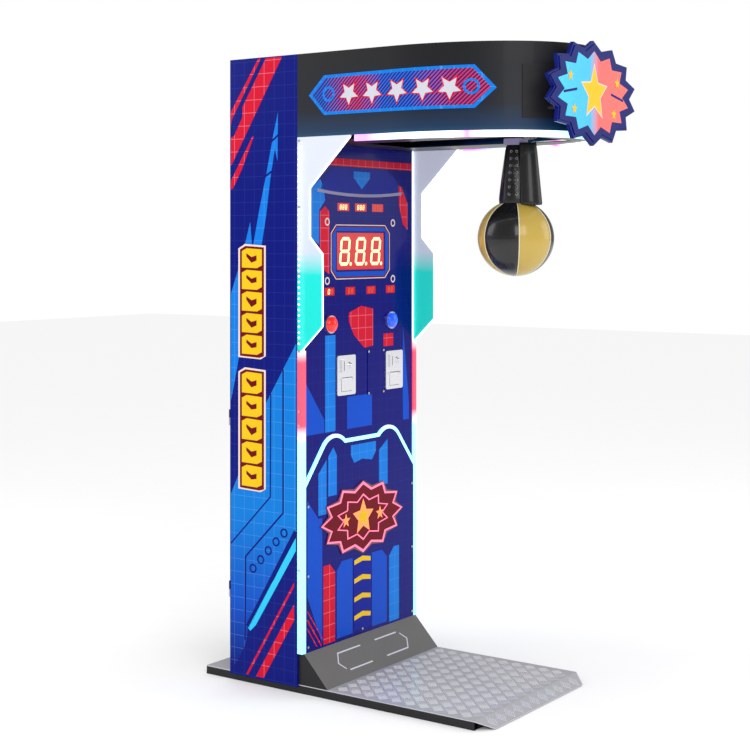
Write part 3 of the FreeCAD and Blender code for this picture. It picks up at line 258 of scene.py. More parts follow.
def chamfered(u0, u1, v0, v1, cut):
    """A rectangle's outline with its corners cut off."""
    return [(u0 + cut, v0), (u1 - cut, v0), (u1, v0 + cut), (u1, v1 - cut),
            (u1 - cut, v1), (u0 + cut, v1), (u0, v1 - cut), (u0, v0 + cut)]


def stroke(points, width):
    """A line of even width along an open run of points, as one outline."""
    left, right = [], []
    for k, point in enumerate(points):
        before = Vector(points[max(k - 1, 0)])
        after = Vector(points[min(k + 1, len(points) - 1)])
        here = Vector(point)
        first = (here - before) if k else (after - here)
        second = (after - here) if k < len(points) - 1 else (here - before)
        mean = (first.normalized() + second.normalized()).normalized()
        normal = Vector((-mean.y, mean.x))
        reach = width / 2 / max(0.35, mean.dot(first.normalized()))
        left.append(tuple(here + normal * reach))
        right.append(tuple(here - normal * reach))
    return left + right[::-1]


def burst(u, v, half_width, half_height, points, notch):
    """A wide burst of points; notch is a share of their reach."""
    shape = []
    for k in range(2 * points):
        reach = 1.0 if k % 2 == 0 else notch
        angle = math.pi * k / points + math.pi / 2
        shape.append((u + reach * half_width * math.cos(angle), v + reach * half_height * math.sin(angle)))
    return shape


def tube_along(points, radius, closed=False, resolution=3):
    """A round bead along points, as a mesh."""
    curve = bpy.data.curves.new("bead", "CURVE")
    curve.dimensions = "3D"
    curve.bevel_depth = radius
    curve.bevel_resolution = resolution
    curve.use_fill_caps = not closed
    spline = curve.splines.new("POLY")
    spline.points.add(len(points) - 1)
    for point, place in zip(spline.points, points):
        point.co = (*place, 1.0)
    spline.use_cyclic_u = closed
    obj = bpy.data.objects.new("bead", curve)
    bpy.context.scene.collection.objects.link(obj)
    take(obj)
    bpy.ops.object.convert(target="MESH")
    obj = bpy.context.object
    bpy.ops.object.mode_set(mode="EDIT")
    bpy.ops.mesh.select_all(action="SELECT")
    bpy.ops.mesh.remove_doubles(threshold=0.00001)
    bpy.ops.mesh.normals_make_consistent(inside=False)
    bpy.ops.object.mode_set(mode="OBJECT")
    return obj


# ---------------------------------------------------------------- shader helpers and node groups
def add(tree, kind, inputs=None, **settings):
    """A shader node with its settings, its input values and its links."""
    node = tree.nodes.new(kind)
    for name, value in settings.items():
        setattr(node, name, value)
    for key, value in (inputs or {}).items():
        if isinstance(value, bpy.types.NodeSocket):
            tree.links.new(value, node.inputs[key])
        else:
            node.inputs[key].default_value = value
    return node


def math_node(tree, operation, first, second=0.0):
    """One sum on one or two values or sockets."""
    return add(tree, "ShaderNodeMath", {0: first, 1: second}, operation=operation).outputs[0]


def mixed(tree, factor, first, second):
    """Two colours mixed by a factor."""
    return add(tree, "ShaderNodeMix", {0: factor, 6: first, 7: second}, data_type="RGBA").outputs[2]


def object_axes(tree):
    """The X, Y and Z of a place in the object's own frame."""
    place = add(tree, "ShaderNodeTexCoord").outputs["Object"]
    return add(tree, "ShaderNodeSeparateXYZ", {0: place}).outputs


def new_group(name, inputs, outputs):
    """A node group with its named sockets."""
    tree = bpy.data.node_groups.new(name, "ShaderNodeTree")
    for label, kind, value in inputs:
        socket = tree.interface.new_socket(name=label, in_out="INPUT", socket_type=kind)
        socket.default_value = value
    for label, kind in outputs:
        tree.interface.new_socket(name=label, in_out="OUTPUT", socket_type=kind)
    return tree, tree.nodes.new("NodeGroupInput").outputs, tree.nodes.new("NodeGroupOutput").inputs


COLOUR, NUMBER = "NodeSocketColor", "NodeSocketFloat"


def surface_group():
    """Slight changes of shade and sheen over a surface, and a fine grain."""
    if "PM Surface" in bpy.data.node_groups:
        return bpy.data.node_groups["PM Surface"]
    tree, given, result = new_group(
        "PM Surface",
        [("Color", COLOUR, (0.5, 0.5, 0.5, 1)), ("Roughness", NUMBER, 0.4), ("Scale", NUMBER, 60.0),
         ("Variation", NUMBER, 0.1), ("Grain", NUMBER, 0.1)],
        [("Color", COLOUR), ("Roughness", NUMBER), ("Height", NUMBER)])
    place = add(tree, "ShaderNodeTexCoord").outputs["Object"]
    broad = add(tree, "ShaderNodeTexNoise", {"Vector": place, "Scale": 7.0, "Detail": 3.0}).outputs[0]
    grain = {"Vector": place, "Scale": given["Scale"], "Detail": 4.0}
    fine = add(tree, "ShaderNodeTexNoise", grain).outputs[0]
    amount = math_node(tree, "MULTIPLY", broad, given["Variation"])
    tree.links.new(mixed(tree, amount, given["Color"], (0.0, 0.0, 0.0, 1)), result["Color"])
    shift = math_node(tree, "MULTIPLY", math_node(tree, "SUBTRACT", broad, 0.5), given["Variation"])
    tree.links.new(math_node(tree, "ADD", given["Roughness"], shift), result["Roughness"])
    tree.links.new(math_node(tree, "MULTIPLY", fine, given["Grain"]), result["Height"])
    return tree


def grid_group():
    """Thin printed lines at an even pitch up and along a surface, over a colour."""
    if "PM Grid" in bpy.data.node_groups:
        return bpy.data.node_groups["PM Grid"]
    tree, given, result = new_group(
        "PM Grid",
        [("Color", COLOUR, (0, 0, 1, 1)), ("Line", COLOUR, (1, 1, 1, 1)), ("Pitch", NUMBER, 0.045),
         ("Strength", NUMBER, 0.2)], [("Color", COLOUR)])
    axes = object_axes(tree)
    lines = 0.0
    for axis in (axes["X"], axes["Y"], axes["Z"]):
        steps = math_node(tree, "DIVIDE", math_node(tree, "ADD", axis, 10.008), given["Pitch"])
        line = math_node(tree, "LESS_THAN", math_node(tree, "FRACT", steps), 0.045)
        lines = math_node(tree, "MAXIMUM", line, lines)
    factor = math_node(tree, "MULTIPLY", lines, given["Strength"])
    tree.links.new(mixed(tree, factor, given["Color"], given["Line"]), result["Color"])
    return tree


def hatch_group():
    """Slanting lines in the side view, in one colour over another."""
    if "PM Hatch" in bpy.data.node_groups:
        return bpy.data.node_groups["PM Hatch"]
    tree, given, result = new_group(
        "PM Hatch",
        [("Ground", COLOUR, (0, 0, 1, 1)), ("Line", COLOUR, (1, 0, 0, 1)), ("Pitch", NUMBER, 0.014),
         ("Share", NUMBER, 0.5)], [("Color", COLOUR)])
    axes = object_axes(tree)
    slant = math_node(tree, "ADD", math_node(tree, "ADD", axes["Y"], axes["Z"]), 10.0)
    part = math_node(tree, "FRACT", math_node(tree, "DIVIDE", slant, given["Pitch"]))
    line = math_node(tree, "LESS_THAN", part, given["Share"])
    tree.links.new(mixed(tree, line, given["Ground"], given["Line"]), result["Color"])
    return tree


def add_group(tree, group, inputs):
    """A node group placed in a material with its own values."""
    node = tree.nodes.new("ShaderNodeGroup")
    node.node_tree = group
    for key, value in inputs.items():
        if isinstance(value, bpy.types.NodeSocket):
            tree.links.new(value, node.inputs[key])
        else:
            node.inputs[key].default_value = value
    return node


def axis_ramp(tree, axis, low, high, stops):
    """A colour that changes along one axis, from (place, colour) stops."""
    span = {"Value": object_axes(tree)[axis], "From Min": low, "From Max": high}
    part = add(tree, "ShaderNodeMapRange", span)
    ramp = add(tree, "ShaderNodeValToRGB", {0: part.outputs[0]})
    elements = ramp.color_ramp.elements
    while len(elements) < len(stops):
        elements.new(0.5)
    for element, (place, colour) in zip(elements, stops):
        element.position = (place - low) / (high - low)
        element.color = (*colour, 1.0)
    return ramp.outputs[0]


def finish(name, colour, roughness=0.4, metallic=0.0, coat=0.0, scale=300.0, variation=0.12, grain=0.15,
           glow=0.0, alpha=1.0, specular=0.35, effect=None):
    """One material. effect takes the tree and gives the socket with the colour."""
    material = bpy.data.materials.new("PM " + name)
    material.use_nodes = True
    tree = material.node_tree
    shader = tree.nodes["Principled BSDF"]
    base = effect(tree) if effect else (*colour, 1.0)
    surface = add_group(tree, surface_group(), {"Color": base, "Roughness": roughness, "Scale": scale,
                                                "Variation": variation, "Grain": grain}).outputs
    tree.links.new(surface["Color"], shader.inputs["Base Color"])
    tree.links.new(surface["Roughness"], shader.inputs["Roughness"])
    bump = add(tree, "ShaderNodeBump", {"Height": surface["Height"], "Strength": 0.25, "Distance": 0.002})
    tree.links.new(bump.outputs[0], shader.inputs["Normal"])
    shader.inputs["Metallic"].default_value = metallic
    shader.inputs["Coat Weight"].default_value = coat
    shader.inputs["Coat Roughness"].default_value = 0.04
    shader.inputs["Specular IOR Level"].default_value = specular
    shader.inputs["Alpha"].default_value = alpha
    if glow:
        tree.links.new(surface["Color"], shader.inputs["Emission Color"])
        shader.inputs["Emission Strength"].default_value = glow
    material.diffuse_color = (*colour, 1.0)
    return material


# ---------------------------------------------------------------- finishes
def gridded(colour, line, strength=0.25, pitch=0.045):
    """An effect that lays the printed grid over a colour."""
    return lambda tree: add_group(tree, grid_group(), {"Color": (*colour, 1.0), "Line": (*line, 1.0),
                                                       "Strength": strength, "Pitch": pitch}).outputs[0]


def ink(name, colour, roughness=0.30, coat=0.02, effect=None):
    """A printed ink, which hardly reflects, so that its colour stays true."""
    return finish(name, colour, roughness, coat=coat, specular=0.08, effect=effect)


def make_finishes():
    """Every material, by the name the pieces and slots use."""
    tint = bpy.context.scene.punch_machine_colours
    lamp = bpy.context.scene.punch_machine_lights
    navy, blue, sky = tuple(tint.navy), tuple(tint.blue), tuple(tint.sky)
    crimson, yellow = tuple(tint.crimson), tuple(tint.yellow)
    white, cyan, pink = (1.0, 1.0, 1.0), (0.24, 0.80, 0.95), (1.0, 0.05, 0.09)

    def tube_colour(tree):
        return axis_ramp(tree, "Z", 0.0, 2.2, [
            (0.0, cyan), (0.86, (0.30, 0.84, 0.95)), (0.92, pink), (1.14, pink), (1.22, white), (1.87, white),
            (1.90, (0.72, 0.95, 1.0))])

    def band_colour(tree):
        return axis_ramp(tree, "Y", -0.91, -0.2, [
            (-0.91, (0.35, 0.90, 1.0)), (-0.80, white), (-0.69, white), (-0.64, (0.95, 0.22, 0.80)),
            (-0.59, white), (-0.42, (0.6, 0.9, 1.0)), (-0.27, (0.55, 0.25, 0.95)), (-0.2, (0.9, 0.3, 0.9))])

    def wing_colour(tree):
        return axis_ramp(tree, "Z", 1.1, 2.0, [(1.1, (0.0, 0.58, 0.50)), (1.44, (0.0, 0.60, 0.54)),
                                              (1.52, (0.50, 0.56, 0.66)), (2.0, (0.58, 0.60, 0.72))])

    def field_colour(tree):
        ramp = axis_ramp(tree, "Z", 0.0, 1.2, [
            (0.05, navy), (0.28, (0.004, 0.08, 0.53)), (0.6, blue), (1.2, blue)])
        lined = {"Color": ramp, "Line": (0.3, 0.6, 1.0, 1.0), "Strength": 0.16}
        return add_group(tree, grid_group(), lined).outputs[0]

    def badge_colour(tree):
        line = axis_ramp(tree, "Y", -0.74, 0.0, [(-0.74, (0.8, 0.02, 0.09)), (-0.60, (0.55, 0.02, 0.14)),
                                                (-0.45, (0.01, 0.12, 0.75)), (-0.34, (0.01, 0.12, 0.75)),
                                                (-0.24, (0.7, 0.02, 0.1)), (-0.10, (0.01, 0.1, 0.6))])
        return add_group(tree, hatch_group(), {"Ground": (0.012, 0.012, 0.10, 1.0), "Line": line}).outputs[0]

    # black casing with a painted blue glow at its foot, fading upwards, standing in for light from the lit
    # parts below
    def shell_black_with_painted_glow(tree):
        return axis_ramp(tree, "Z", 1.89, 2.2, [(1.89, (0.0, 0.10, 0.22)), (1.93, (0.003, 0.03, 0.09)),
                                               (2.00, (0.006, 0.009, 0.018)), (2.2, (0.008, 0.008, 0.010))])

    def sign_colour(tree):
        return axis_ramp(tree, "X", -0.26, 0.26, [(-0.26, (0.0, 0.62, 0.95)), (-0.03, (0.0, 0.5, 0.9)),
                                                 (0.03, (0.95, 0.10, 0.09)), (0.26, (0.95, 0.14, 0.10))])

    return {
        "black_steel": finish("Black Powder Coat", (0.012, 0.012, 0.014), 0.48, grain=0.5, scale=900.0),
        "tread_plate": finish("Tread Plate", (0.62, 0.62, 0.67), 0.38, 0.45, grain=0.3),
        # the same tread metal made lighter and glossier on the raised bars, a painted highlight
        "tread_bar": finish("Tread Bar Painted Highlight", (0.86, 0.86, 0.90), 0.24, 0.45, grain=0.2),
        "satin_steel": finish("Satin Steel", (0.20, 0.195, 0.195), 0.48, 0.4),
        "side_print": ink("Side Print", navy, effect=gridded(navy, (0.05, 0.12, 0.6), 0.15)),
        "black_cover": finish("Black Cover", (0.014, 0.014, 0.016), 0.45, grain=0.5, scale=900.0),
        "shell": finish("Header Casing", (0.010, 0.010, 0.012), 0.46, coat=0.04, grain=0.4,
                        effect=shell_black_with_painted_glow),
        "soffit_black": finish("Soffit Black", (0.010, 0.010, 0.012), 0.35),
        "zinc": finish("Zinc Plate", (0.62, 0.62, 0.60), 0.42, 1.0, variation=0.2),
        "chrome": finish("Chrome", (0.86, 0.86, 0.90), 0.14, 0.85, variation=0.04, grain=0.02),
        "front_print": finish("Front Print", (0.0, 0.0, 0.16), 0.2, coat=0.06, specular=0.1, variation=0.05,
                              grain=0.02, effect=gridded((0.001, 0.002, 0.17), (0.02, 0.06, 0.5), 0.12)),
        "light_tube": finish("Light Tube", white, 0.3, glow=lamp.tube * 0.22, variation=0.0,
                             effect=tube_colour),
        "band_light": finish("Header Light", white, 0.3, glow=lamp.tube * 0.22, variation=0.0,
                             effect=band_colour),
        "frosted": finish("Frosted Wing", white, 0.35, glow=lamp.wing * 0.42, alpha=0.86, variation=0.05,
                          effect=wing_colour),
        "wing_edge": finish("Wing Edge", white, 0.3, glow=lamp.tube * 0.16, variation=0.0),
        "emblem": finish("Emblem Base", (0.16, 0.004, 0.02), 0.25, coat=0.8),
        "sign_navy": ink("Sign Navy", (0.003, 0.010, 0.16)),
        "red_filter": finish("Red Filter", (0.55, 0.003, 0.006), 0.12, coat=0.1, glow=0.30, variation=0.04),
        "circuit": finish("Circuit Board", (0.004, 0.10, 0.03), 0.4),
        "black_plastic": finish("Black Plastic", (0.011, 0.011, 0.012), 0.42, grain=0.3),
        "grey_metal": finish("Grey Metal", (0.34, 0.34, 0.36), 0.36, 0.9),
        "button_ring": finish("Button Ring", (0.72, 0.74, 0.80), 0.18, 0.9),
        "red_button": finish("Red Button", (0.85, 0.012, 0.010), 0.2, coat=0.8, glow=0.9, variation=0.1),
        "blue_button": finish("Blue Button", (0.008, 0.07, 0.95), 0.2, coat=0.8, glow=0.9, variation=0.1),
        "ball_leather": finish("Black Ball Leather", (0.010, 0.010, 0.011), 0.26, coat=0.5, scale=420.0,
                               grain=0.9),
        "tan_leather": finish("Tan Ball Leather", (0.55, 0.38, 0.07), 0.30, coat=0.5, scale=420.0, grain=0.9),
        "piping": finish("Cream Piping", (0.78, 0.72, 0.52), 0.5, grain=0.5),
        "black_leather": finish("Black Leather", (0.012, 0.012, 0.013), 0.34, coat=0.25, scale=380.0,
                                grain=1.0),
        # grey collar metal whose lilac tint is a painted reflection of the LED light
        "collar_grey": finish("Collar Grey Painted Lilac Reflection", (0.42, 0.36, 0.62), 0.3, 0.2),
        "rubber": finish("Rubber", (0.014, 0.014, 0.014), 0.75, grain=0.6),
        "navy": ink("Ink Navy", navy),
        "field": ink("Ink Field", blue, effect=field_colour),
        "sky": ink("Ink Sky", sky, effect=gridded(sky, (0.35, 0.75, 1.0), 0.14)),
        "cyan": ink("Ink Cyan", (0.03, 0.58, 0.95)),
        "crimson": ink("Ink Crimson", crimson, effect=gridded(crimson, (1.0, 0.45, 0.60), 0.35)),
        "maroon": ink("Ink Maroon", (0.16, 0.003, 0.012)),
        "yellow": ink("Ink Yellow", yellow),
        "cream": ink("Ink Cream", (0.86, 0.70, 0.66)),
        "pale": ink("Ink Pale Grey", (0.62, 0.63, 0.70)),
        "lilac": ink("Ink Lilac", (0.30, 0.28, 0.44)),
        "front_blue": ink("Ink Front Blue", (0.002, 0.075, 0.58), 0.22, 0.04),
        "dome": ink("Ink Dome Blue", (0.001, 0.012, 0.30), 0.22, 0.04),
        # printed hatching given a faint painted glow
        "badge": finish("Badge Hatching Painted Glow", (0.05, 0.02, 0.3), 0.25, coat=0.05, glow=0.1, effect=badge_colour),
        "sign_field": finish("Sign Field", (0.4, 0.3, 0.5), 0.25, coat=0.08, effect=sign_colour),
        "pink_light": finish("Pink Light", (1.0, 0.16, 0.30), 0.3, glow=lamp.tube * 0.14, variation=0.0),
        "emblem_star": finish("Emblem Star", (1.0, 0.20, 0.03), 0.25, coat=0.8, glow=1.1),
        "digit_on": finish("Lit Digit", (1.0, 0.42, 0.20), 0.3, glow=lamp.digit, variation=0.0),
        "digit_dim": finish("Dim Digit", (0.55, 0.09, 0.05), 0.3, glow=lamp.digit * 0.12, variation=0.0),
        "led": finish("White LED", white, 0.3, glow=lamp.tube * 1.2, variation=0.0),
    }


def paint_frame(finishes):
    """Gives every CAD node the finish of its material slot."""
    own = {"header_shell": "shell", "sign_face": "sign_navy", "header_light_band": "band_light"}
    for name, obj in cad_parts.items():
        for slot in obj.material_slots:
            slot.material = finishes[own.get(name, slot.material.name.split(".")[0])]


# ---------------------------------------------------------------- printed artwork
def artwork(name, finishes, place, layers, body="cabinet"):
    """One printed piece from (layer, finish, outlines) drawings, joined."""
    parts = []
    for layer, ink, outlines in layers:
        part = place(outlines, layer)
        part.data.materials.append(finishes[ink])
        parts.append(part)
    return finish_piece(join(parts), name, None, body)


FIELD = [(0.02, 1.205), (0.155, 0.99), (0.29, 0.71), (0.315, 0.66), (0.315, 0.055), (0.29, 0.06),
         (0.245, 0.14), (0.235, 0.205), (0.02, 0.55)]
SHARD_HIGH = [(0.101, 2.005), (0.122, 1.925), (0.152, 1.795), (0.185, 1.665), (0.213, 1.54), (0.175, 1.54),
              (0.155, 1.64), (0.135, 1.775), (0.115, 1.88), (0.103, 1.835)]
SHARD_LOW = [(0.218, 1.54), (0.226, 1.625), (0.252, 1.54), (0.28, 1.46), (0.315, 1.37), (0.315, 0.99),
             (0.30, 1.05), (0.275, 1.16), (0.2, 1.4)]
BAND_WIDE = [(0.083, 2.196), (0.155, 2.196), (0.262, 2.03), (0.262, 1.995), (0.30, 1.93), (0.315, 1.925),
             (0.315, 1.826), (0.31, 1.83)]
BAND_THIN = [(0.178, 2.196), (0.19, 2.196), (0.315, 2.016), (0.315, 1.965), (0.31, 1.99)]
BAND_SHORT = [(0.21, 1.925), (0.216, 1.925), (0.315, 1.771), (0.315, 1.739), (0.305, 1.745), (0.265, 1.81)]
RINGS = [(0.074, 0.546), (0.109, 0.512), (0.144, 0.477), (0.178, 0.442), (0.213, 0.407)]


def power_block(low, high, number):
    """One stepped block of the yellow column: its outline, and the mark cut in it."""
    y0, y1 = 0.172, 0.263
    lean = 0.010
    outline = [(y0, low + lean), (y0 + 0.022, low), (y1, low + 0.002), (y1, high - lean), (y1 - 0.022, high),
               (y0, high - 0.004)]
    middle = (low + high) / 2
    reach = 0.012 + 0.004 * (number % 3)
    mark = [(0.196, middle - 0.008), (0.219, middle - reach), (0.242, middle + 0.006),
            (0.242, middle + 0.017), (0.219, middle + 0.004), (0.196, middle + 0.010)]
    return outline, mark


def side_artwork(finishes, side, name):
    """A side panel's print: fields, bands, shards, lines and the block columns."""
    column = []
    for first, last in COLUMNS:
        height = (last - first) / BLOCKS
        for k in range(BLOCKS):
            column.append(power_block(first + k * height + 0.003, first + (k + 1) * height - 0.003, k))
    border = [[(0.155, a), (0.178, a - 0.012), (0.28, a - 0.008), (0.28, b - 0.004), (0.25, b + 0.012),
               (0.155, b + 0.006)] for a, b in COLUMNS]
    shadow = [[(0.163, a - 0.001), (0.184, a - 0.007), (0.272, a - 0.003), (0.272, b - 0.007),
               (0.247, b + 0.005), (0.163, b)] for a, b in COLUMNS]
    layers = [
        (0, "field", [FIELD]),
        (1, "navy", [stroke([(0.022, 0.556), (0.237, 0.2)], 0.018)]),
        (1, "cyan", [[(0.022, 0.535), (0.235, 0.195), (0.225, 0.186), (0.2, 0.21), (0.022, 0.49)]]),
        (1, "navy", [stroke([(0.078, 1.112), (0.078, 0.615), (0.247, 0.445), (0.25, 0.15)], 0.006)]),
        (1, "navy", [stroke([(0.133, 1.024), (0.135, 0.665), (0.315, 0.484)], 0.005)]),
        (0, "crimson", [[(0.03, 0.305), (0.03, 0.25), (0.165, 0.03), (0.2, 0.03)]]),
        (0, "crimson", [[(0.03, 0.38), (0.03, 0.365), (0.235, 0.03), (0.245, 0.03)]]),
        (0, "sky", [SHARD_HIGH]),
        (0, "sky", [SHARD_LOW]),
        (1, "navy", [stroke([(0.100, 1.925), (0.142, 1.895)], 0.007)]),
        (1, "navy", [stroke([(0.128, 1.80), (0.172, 1.775)], 0.007)]),
        (0, "crimson", [BAND_WIDE]),
        (0, "crimson", [BAND_THIN]),
        (0, "crimson", [BAND_SHORT]),
        (2, "cream", border),
        (3, "maroon", shadow),
        (4, "yellow", [outline for outline, mark in column]),
        (5, "maroon", [mark for outline, mark in column]),
    ]
    for y, z in RINGS:
        layers.append((2, "navy", ring(y, z, 0.016, 0.0105)))

    def place(outlines, layer):
        return on_side(outlines, layer, side)
    return artwork(name, finishes, place, layers)


BADGE = [(-0.728, 2.05), (-0.665, 2.125), (-0.10, 2.12), (-0.035, 2.055), (-0.10, 1.985), (-0.665, 1.985)]
BADGE_INNER = [(-0.712, 2.051), (-0.659, 2.114), (-0.105, 2.109), (-0.050, 2.055), (-0.105, 1.996),
               (-0.659, 1.996)]


def header_badge(finishes, side, name):
    """The hatched badge with five stars, wrapped round one side of the header."""
    layers = [(0, "sky", [BADGE]), (1, "badge", [BADGE_INNER])]
    for y in (-0.587, -0.495, -0.40, -0.30, -0.205):
        layers.append((2, "crimson", [star(y, 2.053, 0.048, 0.46)]))
        layers.append((3, "pale", [star(y, 2.053, 0.039, 0.46)]))
    for y in (-0.655, -0.12):
        layers.append((2, "sky", ring(y, 2.055, 0.026, 0.018)))

    def place(outlines, layer):
        return wrap_on_header(on_side(outlines, layer + 1, side), side)
    return artwork(name, finishes, place, layers)


def front_place(face):
    """Lays outlines on the plane that faces the player at face."""
    return lambda outlines, layer: on_front(outlines, face, layer)


def arc_band(half, low, sag, width, steps=16):
    """A shallow curved band across the middle, lower in the middle than at its ends."""
    top, bottom = [], []
    for k in range(steps + 1):
        x = -half + 2 * half * k / steps
        z = low + sag * (x / half) ** 2
        top.append((x, z + width))
        bottom.append((x, z))
    return top + bottom[::-1]


def upper_artwork(finishes):
    """The upper front panel's print, round the displays and buttons."""
    dome = [(-0.24, 1.74), (-0.215, 1.79), (-0.16, 1.82), (0.16, 1.82), (0.215, 1.79), (0.24, 1.74),
            (0.12, 1.728), (-0.12, 1.728)]
    hole = rectangle(-0.152, 0.152, 1.448, 1.593)
    octagon = chamfered(-0.182, 0.182, 1.421, 1.616, 0.03)
    edge = chamfered(-0.179, 0.179, 1.424, 1.613, 0.029)
    field = chamfered(-0.172, 0.172, 1.430, 1.607, 0.026)
    layers = [
        (0, "crimson", [rectangle(-0.329, 0.329, 1.824, 1.851)]),
        (0, "dome", [dome]),
        (1, "sky", [[(-0.045, 1.808), (0.055, 1.808), (0.055, 1.785), (0.005, 1.745), (-0.045, 1.785)]]),
        (1, "lilac", [arc_band(0.26, 1.716, 0.014, 0.011)]),
        (0, "sky", [[(-0.30, 1.74), (-0.245, 1.775), (-0.225, 1.75), (-0.215, 1.70), (-0.25, 1.665),
                     (-0.25, 1.545), (-0.30, 1.57)]]),
        (0, "crimson", [[(-0.245, 1.66), (-0.215, 1.68), (-0.19, 1.66), (-0.19, 1.44), (-0.22, 1.455),
                         (-0.245, 1.50)]]),
        (0, "crimson", [[(0.24, 1.765), (0.26, 1.76), (0.30, 1.70), (0.30, 1.60), (0.27, 1.62),
                         (0.245, 1.69)]]),
        (1, "cream", [octagon, edge]),
        (1, "maroon", [edge, field]),
        (1, "front_blue", [field, hole]),
        (1, "crimson", [[(-0.075, 1.27), (-0.075, 1.30), (0, 1.323), (0.075, 1.31), (0.075, 1.175),
                         (0.02, 1.17), (-0.045, 1.22)]]),
        (0, "sky", [[(-0.215, 0.885), (-0.155, 0.885), (-0.155, 1.225), (-0.215, 1.225)]]),
        (0, "front_blue", [[(-0.325, 1.065), (-0.22, 0.93), (-0.22, 0.885), (-0.325, 0.885)]]),
        (0, "front_blue", [rectangle(-0.085, 0.068, 0.885, 1.0)]),
        (0, "crimson", [[(0.142, 1.168), (0.205, 1.168), (0.205, 1.215), (0.142, 1.215)]]),
        (0, "front_blue", [[(0.27, 1.24), (0.31, 0.95), (0.31, 0.885), (0.27, 0.885), (0.268, 1.0)]]),
    ]
    for x in (-0.203, 0.203):
        for z in (1.625, 1.417):
            layers.append((1, "cream", ring(x, z, 0.014, 0.009)))
    return artwork("upper_front_artwork", finishes, front_place(UPPER[0][1]), layers)


def chevron(z):
    """One upward chevron at a height."""
    return [(-0.05, z - 0.012), (0.0, z - 0.004), (0.05, z - 0.012), (0.05, z + 0.004), (0.0, z + 0.014),
            (-0.05, z + 0.004)]


def lower_artwork(finishes):
    """The lower front panel's print, with its column of chevrons."""
    layers = [
        (0, "sky", [[(-0.262, 0.60), (-0.215, 0.60), (-0.215, 0.79), (-0.262, 0.745)]]),
        (0, "sky", [[(-0.205, 0.66), (-0.155, 0.66), (-0.155, 0.80), (-0.175, 0.83), (-0.205, 0.80)]]),
        (0, "front_blue", [[(-0.24, 0.15), (-0.325, 0.33), (-0.325, 0.66), (-0.262, 0.59), (-0.24, 0.59)]]),
        (0, "sky", [[(-0.07, 0.825), (0.085, 0.825), (0.085, 0.79), (0.06, 0.76), (0.0, 0.77), (-0.05, 0.76),
                     (-0.07, 0.79)]]),
        (0, "sky", [[(0.105, 0.66), (0.105, 0.79), (0.16, 0.825), (0.16, 0.66)]]),
        (0, "crimson", [[(-0.233, 0.145), (-0.165, 0.145), (-0.165, 0.39), (-0.195, 0.42), (-0.233, 0.42)]]),
        (0, "front_blue", [[(-0.155, 0.15), (-0.06, 0.15), (-0.06, 0.42), (-0.125, 0.42), (-0.155, 0.39)]]),
        (0, "front_blue", [[(0.06, 0.15), (0.155, 0.15), (0.155, 0.39), (0.125, 0.42), (0.06, 0.42)]]),
        (0, "sky", [[(0.17, 0.145), (0.235, 0.145), (0.235, 0.42), (0.20, 0.42), (0.17, 0.39)]]),
        (1, "dome", [rectangle(-0.055, 0.055, 0.155, 0.42)]),
        (2, "yellow", [chevron(z) for z in (0.405, 0.338, 0.271, 0.205)]),
        (0, "crimson", [stroke([(-0.325, 0.25), (-0.245, 0.145)], 0.006),
                        stroke([(-0.325, 0.28), (-0.24, 0.17)], 0.004)]),
        (0, "crimson", [stroke([(-0.325, 0.22), (-0.27, 0.147)], 0.004)]),
    ]
    return artwork("lower_front_artwork", finishes, front_place(LOWER[0][1]), layers)


def emblem_artwork(finishes):
    """The lit burst and stars on the emblem plate."""
    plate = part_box("front_emblem")
    z = (plate[0][2] + plate[1][2]) / 2
    half_width, half_height = plate[1][0] - 0.004, (plate[1][2] - plate[0][2]) / 2 - 0.004
    rim = burst(0, z, half_width, half_height, 12, 0.80)
    inner = burst(0, z, half_width - 0.012, half_height - 0.010, 12, 0.80)
    layers = [
        (0, "pink_light", [rim, inner]),
        (0, "maroon", [inner]),
        (1, "pink_light", [burst(0, z, half_width * 0.66, half_height * 0.66, 10, 0.74),
                           burst(0, z, half_width * 0.62, half_height * 0.61, 10, 0.74)]),
        (1, "emblem_star", [star(0, z, 0.066, 0.48, 90.0)]),
        (2, "yellow", [star(0, z, 0.034, 0.48, 90.0)]),
        (1, "emblem_star", [star(x, z, 0.026, 0.42, 90.0) for x in (-0.105, 0.105)]),
    ]
    return artwork("front_emblem_artwork", finishes, front_place(plate[0][1]), layers)


def sign_artwork(finishes):
    """The burst, star and small stars on the sign's face."""
    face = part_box("sign_face")
    z = (face[0][2] + face[1][2]) / 2
    half_width, half_height = face[1][0], (face[1][2] - face[0][2]) / 2
    small_stars = ((-0.165, 0.045), (0.165, 0.045), (-0.14, -0.06), (0.14, -0.06))
    layers = [
        (0, "sign_field", [burst(0, z, half_width * 0.86, half_height * 0.86, 14, 0.80)]),
        (1, "cream", [star(0, z, 0.098, 0.46, 90.0)]),
        (2, "yellow", [star(0, z, 0.088, 0.46, 90.0)]),
        (2, "yellow", [star(u, z + v, 0.020, 0.42, 90.0) for u, v in small_stars]),
        (1, "navy", [stroke([(-0.21, z - 0.01), (-0.12, z + 0.005)], 0.008),
                     stroke([(0.12, z + 0.005), (0.21, z - 0.01)], 0.008)]),
    ]
    return artwork("top_sign_artwork", finishes, front_place(face[0][1]), layers)


# ---------------------------------------------------------------- digits, deck tread and lamps
def segment(u0, v0, u1, v1, thick):
    """One lit bar of a digit, pointed at both ends."""
    a, b = Vector((u0, v0)), Vector((u1, v1))
    along = (b - a).normalized()
    across = Vector((-along.y, along.x)) * thick / 2
    gap = thick * 0.12
    a, b = a + along * gap, b - along * gap
    return [tuple(a), tuple(a + along * thick / 2 + across), tuple(b - along * thick / 2 + across), tuple(b),
            tuple(b - along * thick / 2 - across), tuple(a + along * thick / 2 - across)]


